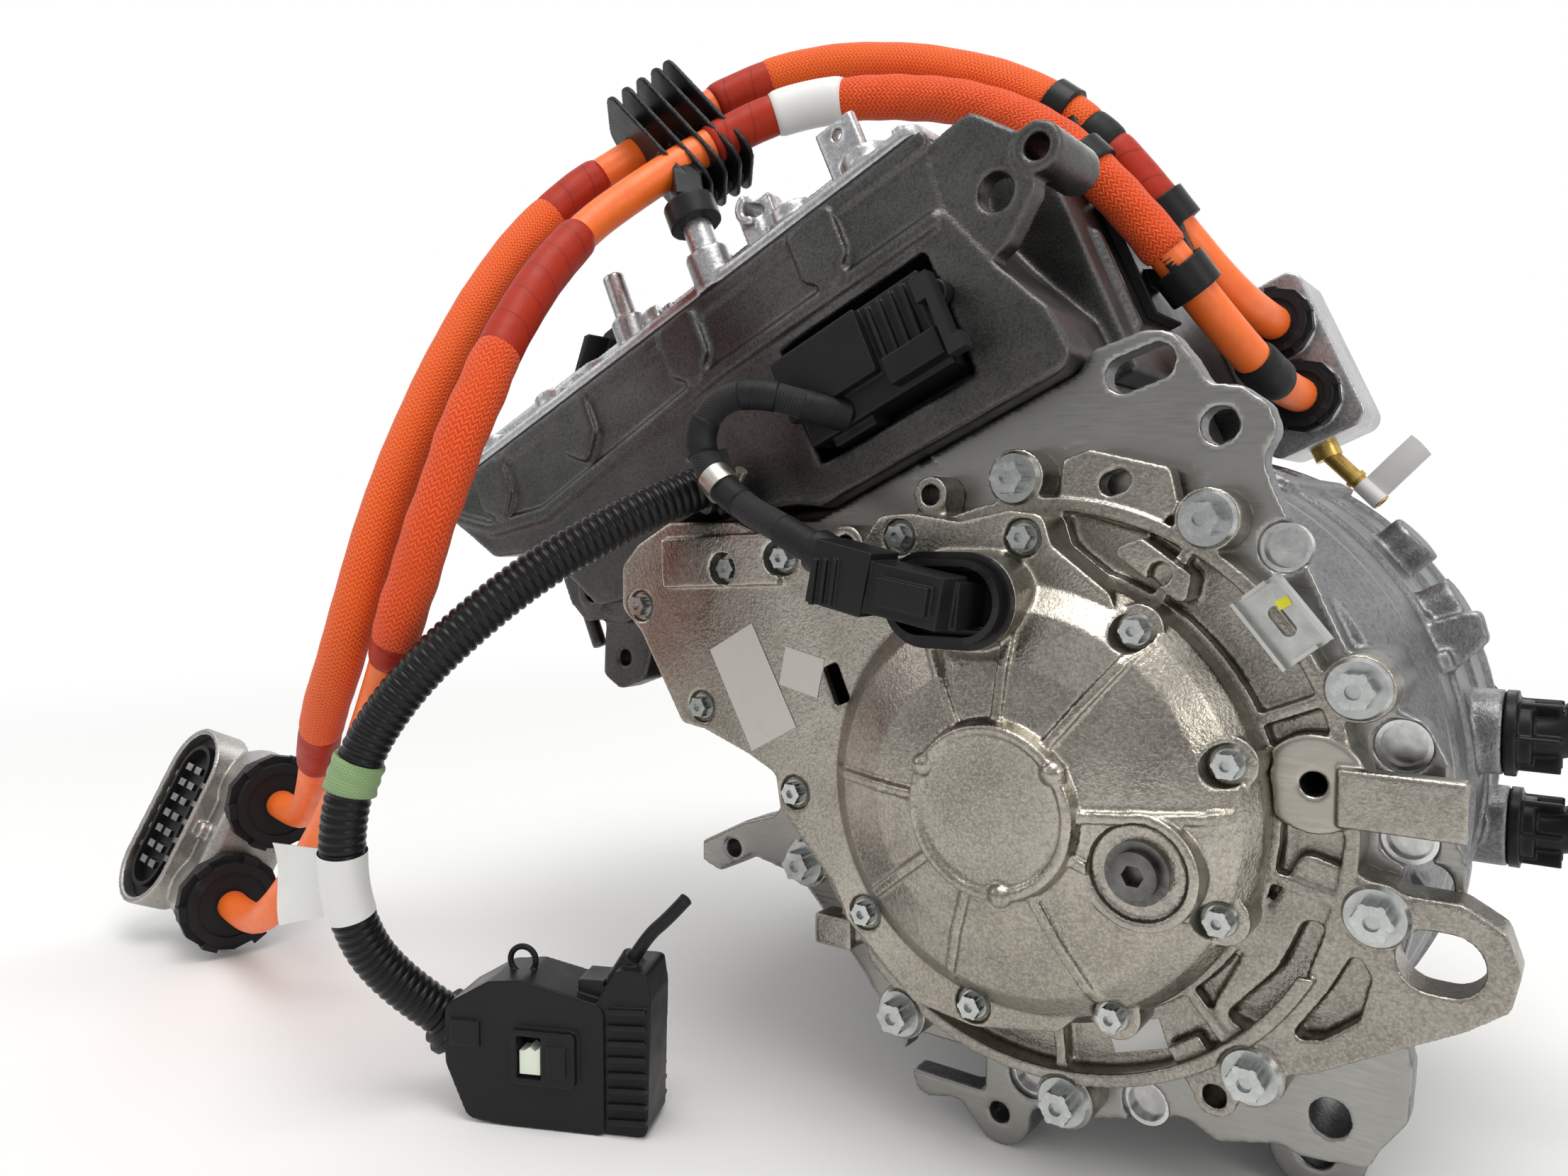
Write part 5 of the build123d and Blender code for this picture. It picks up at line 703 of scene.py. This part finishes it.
# node: finish, cell size in metres, smoothing turns, most triangles, record slot
softShapes = {
    "brush_cover": ("coverCast", 0.0011, 4, 180000, "cast_alu"),
    "end_shield": ("shieldCast", 0.0013, 3, 190000, "cast_alu"),
    "main_housing": ("jacketCast", 0.0018, 3, 190000, "cast_grey"),
    "inverter_housing": ("inverterCast", 0.0018, 5, 160000, "cast_grey"),
    "inverter_lid": ("lidCast", 0.0014, 5, 150000, "cast_alu"),
    "gearbox_housing": ("gearCast", 0.0022, 3, 90000, "cast_grey"),
    "gearbox_cover": ("gearCast", 0.0022, 3, 80000, "cast_grey"),
    "hv_port_housing": ("lidCast", 0.0011, 3, 60000, "cast_alu"),
    "hv_plug_shell": ("plugCast", 0.0012, 3, 90000, "cast_alu"),
    "lv_connector": ("satinBlack", 0.0007, 2, 110000, "black_plastic"),
    "exciter_plug": ("satinBlack", 0.0006, 2, 60000, "black_plastic"),
    "inverter_plug": ("satinBlack", 0.0008, 2, 60000, "black_plastic"),
    "cable_clip": ("satinBlack", 0.0008, 2, 90000, "black_plastic"),
    "cable_guide": ("satinBlack", 0.0008, 2, 70000, "black_plastic"),
    "support_arm": ("satinBlack", 0.0009, 2, 40000, "black_plastic"),
    "coolant_elbows": ("satinBlack", 0.0009, 2, 80000, "black_plastic"),
}
pieceOf = {}
for node, (finish, *shape) in softShapes.items():
    pieceOf[node] = softened(node, finish, *shape)
print("stage: castings and mouldings")

# node: finish, edge width in metres, record slot
edgedShapes = {
    "exciter_collar": ("glossBlack", 0.0006, "black_plastic"),
    "hv_port_nuts": ("nutBlack", 0.0005, "black_plastic"),
    "hv_plug_nuts": ("nutBlack", 0.0007, "black_plastic"),
    "hv_plug_contacts": ("satinBlack", 0.0003, "black_plastic"),
    "harness_clamp": ("satinBlack", 0.0003, "black_plastic"),
}
for node, (finish, width, slot) in edgedShapes.items():
    pieceOf[node] = creased(node, finish, width)


def looseParts(work):
    # The faces of each loose part of a mesh
    seen, parts = set(), []
    for first in work.faces:
        if first.index in seen:
            continue
        seen.add(first.index)
        part, edge = [], [first]
        while edge:
            face = edge.pop()
            part.append(face)
            for other in (f for vertex in face.verts for f in vertex.link_faces):
                if other.index not in seen:
                    seen.add(other.index)
                    edge.append(other)
        parts.append(part)
    return parts


def paintNearest(piece, finish, place):
    # Gives another finish to the one loose part of a piece that lies nearest to a place
    mesh = piece.data
    mesh.materials.append(finishes[finish])
    work = bmesh.new()
    work.from_mesh(mesh)

    def away(part):
        places = [v.co for f in part for v in f.verts]
        middle = (Vector(np.min(places, 0)) + Vector(np.max(places, 0))) / 2
        return (middle - Vector(place)).length
    for face in min(looseParts(work), key=away):
        mesh.polygons[face.index].material_index = len(mesh.materials) - 1
    work.free()


clampBand = (-0.0577, -0.199, 0.334)            # middle of the steel band of the harness clamp
contacts = {
    "centre": (-0.55231, -0.2349, 0.0917),      # middle of the plug's mouth
    "out": (-0.0172, -0.8955, 0.4448),
    "along": (0.1098, 0.4405, 0.891),
    "carrierTop": -0.0088,
    "bladeReach": (0.041, 0.0125),              # half the length and half the width of the blade field
    "studRows": (0.0195, 0.0245, 0.031),        # from and to across, and half the length
}


def paintContacts(piece, c):
    # Bright blades and studs on the black carrier
    mesh = piece.data
    mesh.materials.append(finishes["brightSteel"])
    out, along = Vector(c["out"]).normalized(), Vector(c["along"]).normalized()
    side = out.cross(along)
    for face in mesh.polygons:
        offset = face.center - Vector(c["centre"])
        height, u, v = offset.dot(out), abs(offset.dot(along)), abs(offset.dot(side))
        blade = u < c["bladeReach"][0] and v < c["bladeReach"][1]
        stud = c["studRows"][0] < v < c["studRows"][1] and u < c["studRows"][2]
        if height > c["carrierTop"] and (blade or stud):
            face.material_index = 1


paintNearest(pieceOf["harness_clamp"], "bandSteel", clampBand)
paintContacts(pieceOf["hv_plug_contacts"], contacts)
print("stage: nuts, clamp and contacts")

# The fasteners, the inside pieces and the small moving pieces keep their CAD shapes
plainShapes = {
    "stator_core": "coreSheet", "rotor_core": "coreSheet", "resolver": "coreSheet",
    "stator_windings": "copperWire", "rotor_windings": "copperWire", "slip_rings": "copperWire",
    "phase_busbars": "copperWire", "rotor_shaft": "groundSteel", "intermediate_shaft": "groundSteel",
    "final_gear": "groundSteel", "differential_case": "groundSteel", "differential_gears": "groundSteel",
    "rotor_bearings": "groundSteel", "intermediate_bearings": "groundSteel", "output_bearings": "groundSteel",
    "sensor_wheel": "groundSteel", "brush_holder": "satinBlack", "brushes": "carbonBlock",
    "shaft_seals": "sealRubber", "lid_gasket": "sealRubber", "control_board": "board",
    "power_module": "pottedBlack", "dc_link_capacitor": "pottedBlack", "inverter_header": "satinBlack",
    "plug_lever": "satinBlack", "lv_connector_lock": "paleInsert", "shield_bolts": "zincBolt",
    "cover_bolts": "zincBolt", "lid_screws": "zincBolt", "gearbox_bolts": "zincBolt",
    "level_plug": "darkSteel", "cup_plugs": "brightSteel", "channel_clip": "foldedSheet",
    "vent_tube": "brassTube",
}
for node, finish in plainShapes.items():
    dress(cadNodes[node].data, finish)
print("stage: fasteners and inside pieces")

dressLead("outer")
dressLead("inner")

harness = {
    # Inputs of the corrugated tube: metres. Step is an eighth of the pitch.
    "ribs": {"Step": 0.000575, "Radius": 0.0114, "Depth": 0.0017, "Pitch": 0.0046},
    "ribSides": 28,
    "ribCrown": 0.45,       # below 1 gives flat-topped ribs with narrow valleys
    "conduit": [(-0.08271, -0.176, 0.325), (-0.09271, -0.197, 0.317), (-0.10771, -0.22, 0.303),
                (-0.12571, -0.249, 0.284), (-0.14571, -0.279, 0.256), (-0.16671, -0.301, 0.226),
                (-0.18471, -0.315, 0.192), (-0.19271, -0.321, 0.153), (-0.19671, -0.315, 0.111),
                (-0.19271, -0.297, 0.073), (-0.17671, -0.273, 0.049)],
    "branchRadius": 0.0073,
    "branch": [(-0.00071, -0.155, 0.36), (-0.01571, -0.171, 0.365), (-0.03471, -0.184, 0.372),
               (-0.05471, -0.192, 0.369), (-0.06471, -0.197, 0.353), (-0.05771, -0.199, 0.334),
               (-0.03971, -0.201, 0.319), (-0.01371, -0.205, 0.307), (0.01529, -0.207, 0.294)],
    "branchSwell": 0.00035,
    "branchSeed": 71,
    "branchSides": 28,
    "branchStep": 0.0012,
    "tapeThickness": 0.0005,
    "branchTapes": [(0.0, 0.13), (0.2, 0.3), (0.42, 0.52), (0.6, 0.72), (0.88, 1.0)],
    "tailRadius": 0.0035,
    "tail": [(-0.08271, -0.227, 0.087), (-0.07571, -0.224, 0.099), (-0.06571, -0.221, 0.108),
             (-0.05671, -0.217, 0.119)],
    "bandRadius": (0.0128, 0.0004),     # and how far it swells
    "bandSpan": (0.585, 0.628),
    "flagSpan": (0.71, 0.80),
    "flagShape": (0.0121, 0.026, (-0.82, -0.35, -0.45)),    # radius, leaf, and where it hangs: left and down
}


def ringTree(h):
    # Corrugated tube along a line
    tree = bpy.data.node_groups.new("corrugate", "GeometryNodeTree")
    face = tree.interface
    face.new_socket("Geometry", in_out="INPUT", socket_type="NodeSocketGeometry")
    for name, value in h["ribs"].items():
        face.new_socket(name, in_out="INPUT", socket_type="NodeSocketFloat").default_value = value
    face.new_socket("Finish", in_out="INPUT", socket_type="NodeSocketMaterial")
    face.new_socket("Geometry", in_out="OUTPUT", socket_type="NodeSocketGeometry")
    add, link = tree.nodes.new, tree.links.new
    start, end = add("NodeGroupInput"), add("NodeGroupOutput")
    sample = add("GeometryNodeResampleCurve")
    sample.mode = "LENGTH"
    link(start.outputs["Geometry"], sample.inputs["Curve"])
    link(start.outputs["Step"], sample.inputs["Length"])
    where = add("GeometryNodeSplineParameter")

    def worked(operation, a, b=0):
        made = add("ShaderNodeMath")
        made.operation = operation
        for socket, value in zip(made.inputs, (a, b)):
            if isinstance(value, (int, float)):
                socket.default_value = value
            else:
                link(value, socket)
        return made.outputs[0]
    phase = worked("FRACT", worked("DIVIDE", where.outputs["Length"], start.outputs["Pitch"]))
    wave = worked("SINE", worked("MULTIPLY", phase, math.pi))
    crown = worked("POWER", wave, h["ribCrown"])
    inner = worked("SUBTRACT", start.outputs["Radius"], start.outputs["Depth"])
    radius = worked("ADD", inner, worked("MULTIPLY", crown, start.outputs["Depth"]))
    circle = add("GeometryNodeCurvePrimitiveCircle")
    circle.inputs["Resolution"].default_value = h["ribSides"]
    circle.inputs["Radius"].default_value = 1.0
    sweep = add("GeometryNodeCurveToMesh")
    sweep.inputs["Fill Caps"].default_value = True
    link(sample.outputs["Curve"], sweep.inputs["Curve"])
    link(circle.outputs["Curve"], sweep.inputs["Profile Curve"])
    link(radius, sweep.inputs["Scale"])
    real, coat = add("GeometryNodeRealizeInstances"), add("GeometryNodeSetMaterial")
    link(sweep.outputs["Mesh"], real.inputs[0])
    link(real.outputs[0], coat.inputs["Geometry"])
    link(start.outputs["Finish"], coat.inputs["Material"])
    link(coat.outputs["Geometry"], end.inputs[0])
    return tree


def buildConduit(h):
    curve = nurbsLine("conduit", h["conduit"])
    line = pointsOf(curve)
    holder = heldObject("conduitWork", curve)
    tree = ringTree(h)
    rings = holder.modifiers.new("rings", "NODES")
    rings.node_group = tree
    sockets = {item.name: item.identifier for item in tree.interface.items_tree if item.in_out == "INPUT"}
    for name, value in h["ribs"].items():
        rings[sockets[name]] = value
    rings[sockets["Finish"]] = finishes["ribbedBlack"]
    mesh = evaluatedMesh(holder)
    smoothAll(mesh)
    conduit = addPiece("corrugatedConduit", mesh, "ribbedBlack")
    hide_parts("corrugated_conduit")
    bandRadius, bandSwell = h["bandRadius"]
    band = tubeMesh("greenBand", stretchOf(line, *h["bandSpan"], 0.0015),
                    lambda travel, turn: bandRadius + bandSwell * math.sin(travel * 900 + 2 * turn))
    band = addPiece("fabricBand", band, "greenBand")
    flag = buildFlag("conduitFlag", stretchOf(line, *h["flagSpan"], 0.003), *h["flagShape"])


def buildFlag(name, part, radius, leaf, out):
    # Blank label wrapped round a conduit or a pipe, its two ends stuck together as a flag that points out
    wrap = tubeMesh(name, part, lambda travel, turn: radius + 0.0002 * math.sin(turn * 3 + travel * 90),
                    36, False)
    work = bmesh.new()
    work.from_mesh(wrap)
    out = Vector(out).normalized()
    steps, paper, droop = 6, 0.00025, 0.004
    for side in (-1, 1):
        rows = []
        for i in range(steps + 1):
            row = []
            for j, centre in enumerate(part):
                along = (part[min(j + 1, len(part) - 1)] - part[max(j - 1, 0)]).normalized()
                away = (out - along * out.dot(along)).normalized()
                reach = radius - 0.0003 + leaf * i / steps
                sag = droop * (i / steps) ** 2 * math.sin(j * 0.45)
                row.append(work.verts.new(centre + away * reach + along.cross(away) * (paper * side + sag)))
            rows.append(row)
        for a, b in zip(rows, rows[1:]):
            for k in range(len(a) - 1):
                loop = (a[k], a[k + 1], b[k + 1], b[k]) if side > 0 else (a[k], b[k], b[k + 1], a[k + 1])
                work.faces.new(loop)
    work.to_mesh(wrap)
    work.free()
    smoothAll(wrap)
    return addPiece(name, wrap, "whiteLabel")


def buildBranch(h):
    line = pointsOf(nurbsLine("branch", h["branch"]))
    swell = lumps(h["branchSeed"], h["branchSwell"])
    mesh = tubeMesh("branch", stretchOf(line, 0, 1, h["branchStep"]),
                    lambda travel, turn: h["branchRadius"] + swell(travel, turn), h["branchSides"])
    branch = addPiece("harnessBranch", mesh, "blackBraid")
    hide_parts("harness_branch")
    tapeRadius = h["branchRadius"] + h["tapeThickness"]
    for i, (start, end) in enumerate(h["branchTapes"]):
        tape = tubeMesh("branchTape", stretchOf(line, start, end, h["branchStep"]),
                        lambda travel, turn: tapeRadius + swell(travel, turn) * 0.5, h["branchSides"])
        addPiece(f"branchTape{i}", tape, "blackTape")


def buildTail(h):
    tail, line = roundCord("tailCable", h["tail"], h["tailRadius"], 5, "satinBlack",
                           "tail_cable")


buildConduit(harness)
buildBranch(harness)
buildTail(harness)

ventFlag = {
    "end": (0.1991, 0.121, 0.3174),         # open end of the brass tube, and its direction
    "axis": (0.707, 0.0, -0.707),
    "span": (0.003, 0.019),                 # from the end back
    "shape": (0.0053, 0.034, (0.8, -0.25, 0.6)),        # radius, leaf, and where it hangs
}


def buildVentFlag(v):
    (first, last), steps = v["span"], 5
    marks = [first + (last - first) * i / steps for i in range(steps + 1)]
    part = [Vector(v["end"]) - Vector(v["axis"]) * mark for mark in marks]
    buildFlag("ventFlag", part, *v["shape"])


buildVentFlag(ventFlag)
print("stage: cords")

# name: centre x and z on the front, size, turn in degrees, finish, node that carries it
labels = {
    "stickerLow": ((0.1472, 0.0785), (0.025, 0.013), 20.0, "whiteLabel", "end_shield"),
    "patchSquare": ((-0.013, 0.2325), (0.024, 0.02), -12.0, "silverLabel", "brush_cover"),
    "patchLong": ((-0.0443, 0.2222), (0.058, 0.032), -61.0, "silverLabel", "brush_cover"),
    "dotClip": ((0.2066, 0.2744), (0.0055, 0.004), 30.0, "yellowDot", "channel_clip"),
    "dotTab": ((-0.1198, 0.2656), (0.0035, 0.006), 0.0, "yellowDot", "end_shield"),
}
labelFilm = {
    "across": 14,           # cells of the film
    "up": 10,
    "inFront": -0.4,        # y that the film is laid on from
    "lift": 0.0003,
    "over": 0.0012,         # how far it bends over what is higher
    "under": 0.0002,        # how far it sinks where the casting is lower
}


def frontLabel(f, name, centre, size, turn, finish, node):
    # A thin film laid on the casting from the front, following its surface
    graph = bpy.context.evaluated_depsgraph_get()
    carrier = pieceOf.get(node) or cadNodes[node]
    target = BVHTree.FromObject(carrier.evaluated_get(graph), graph)
    across, up = f["across"], f["up"]
    lean = math.radians(turn)
    grid = []
    for i in range(up + 1):
        for j in range(across + 1):
            u = (j / across - 0.5) * size[0]
            v = (i / up - 0.5) * size[1]
            x = centre[0] + u * math.cos(lean) - v * math.sin(lean)
            z = centre[1] + u * math.sin(lean) + v * math.cos(lean)
            hit = target.ray_cast(Vector((x, f["inFront"], z)), Vector((0, 1, 0)))[0]
            grid.append(Vector((x, hit.y if hit else 0.0, z)))
    level = float(np.median([p.y for p in grid]))
    for p in grid:
        p.y = max(min(p.y, level + f["under"]), level - f["over"]) - f["lift"]
    faces = []
    for i in range(up):
        for j in range(across):
            a = i * (across + 1) + j
            faces.append((a, a + 1, a + across + 2, a + across + 1))
    mesh = bpy.data.meshes.new(name)
    mesh.from_pydata(grid, [], faces)
    smoothAll(mesh)
    return addPiece(name, mesh, finish)


for name, settings in labels.items():
    frontLabel(labelFilm, name, *settings)
print("stage: blank labels")
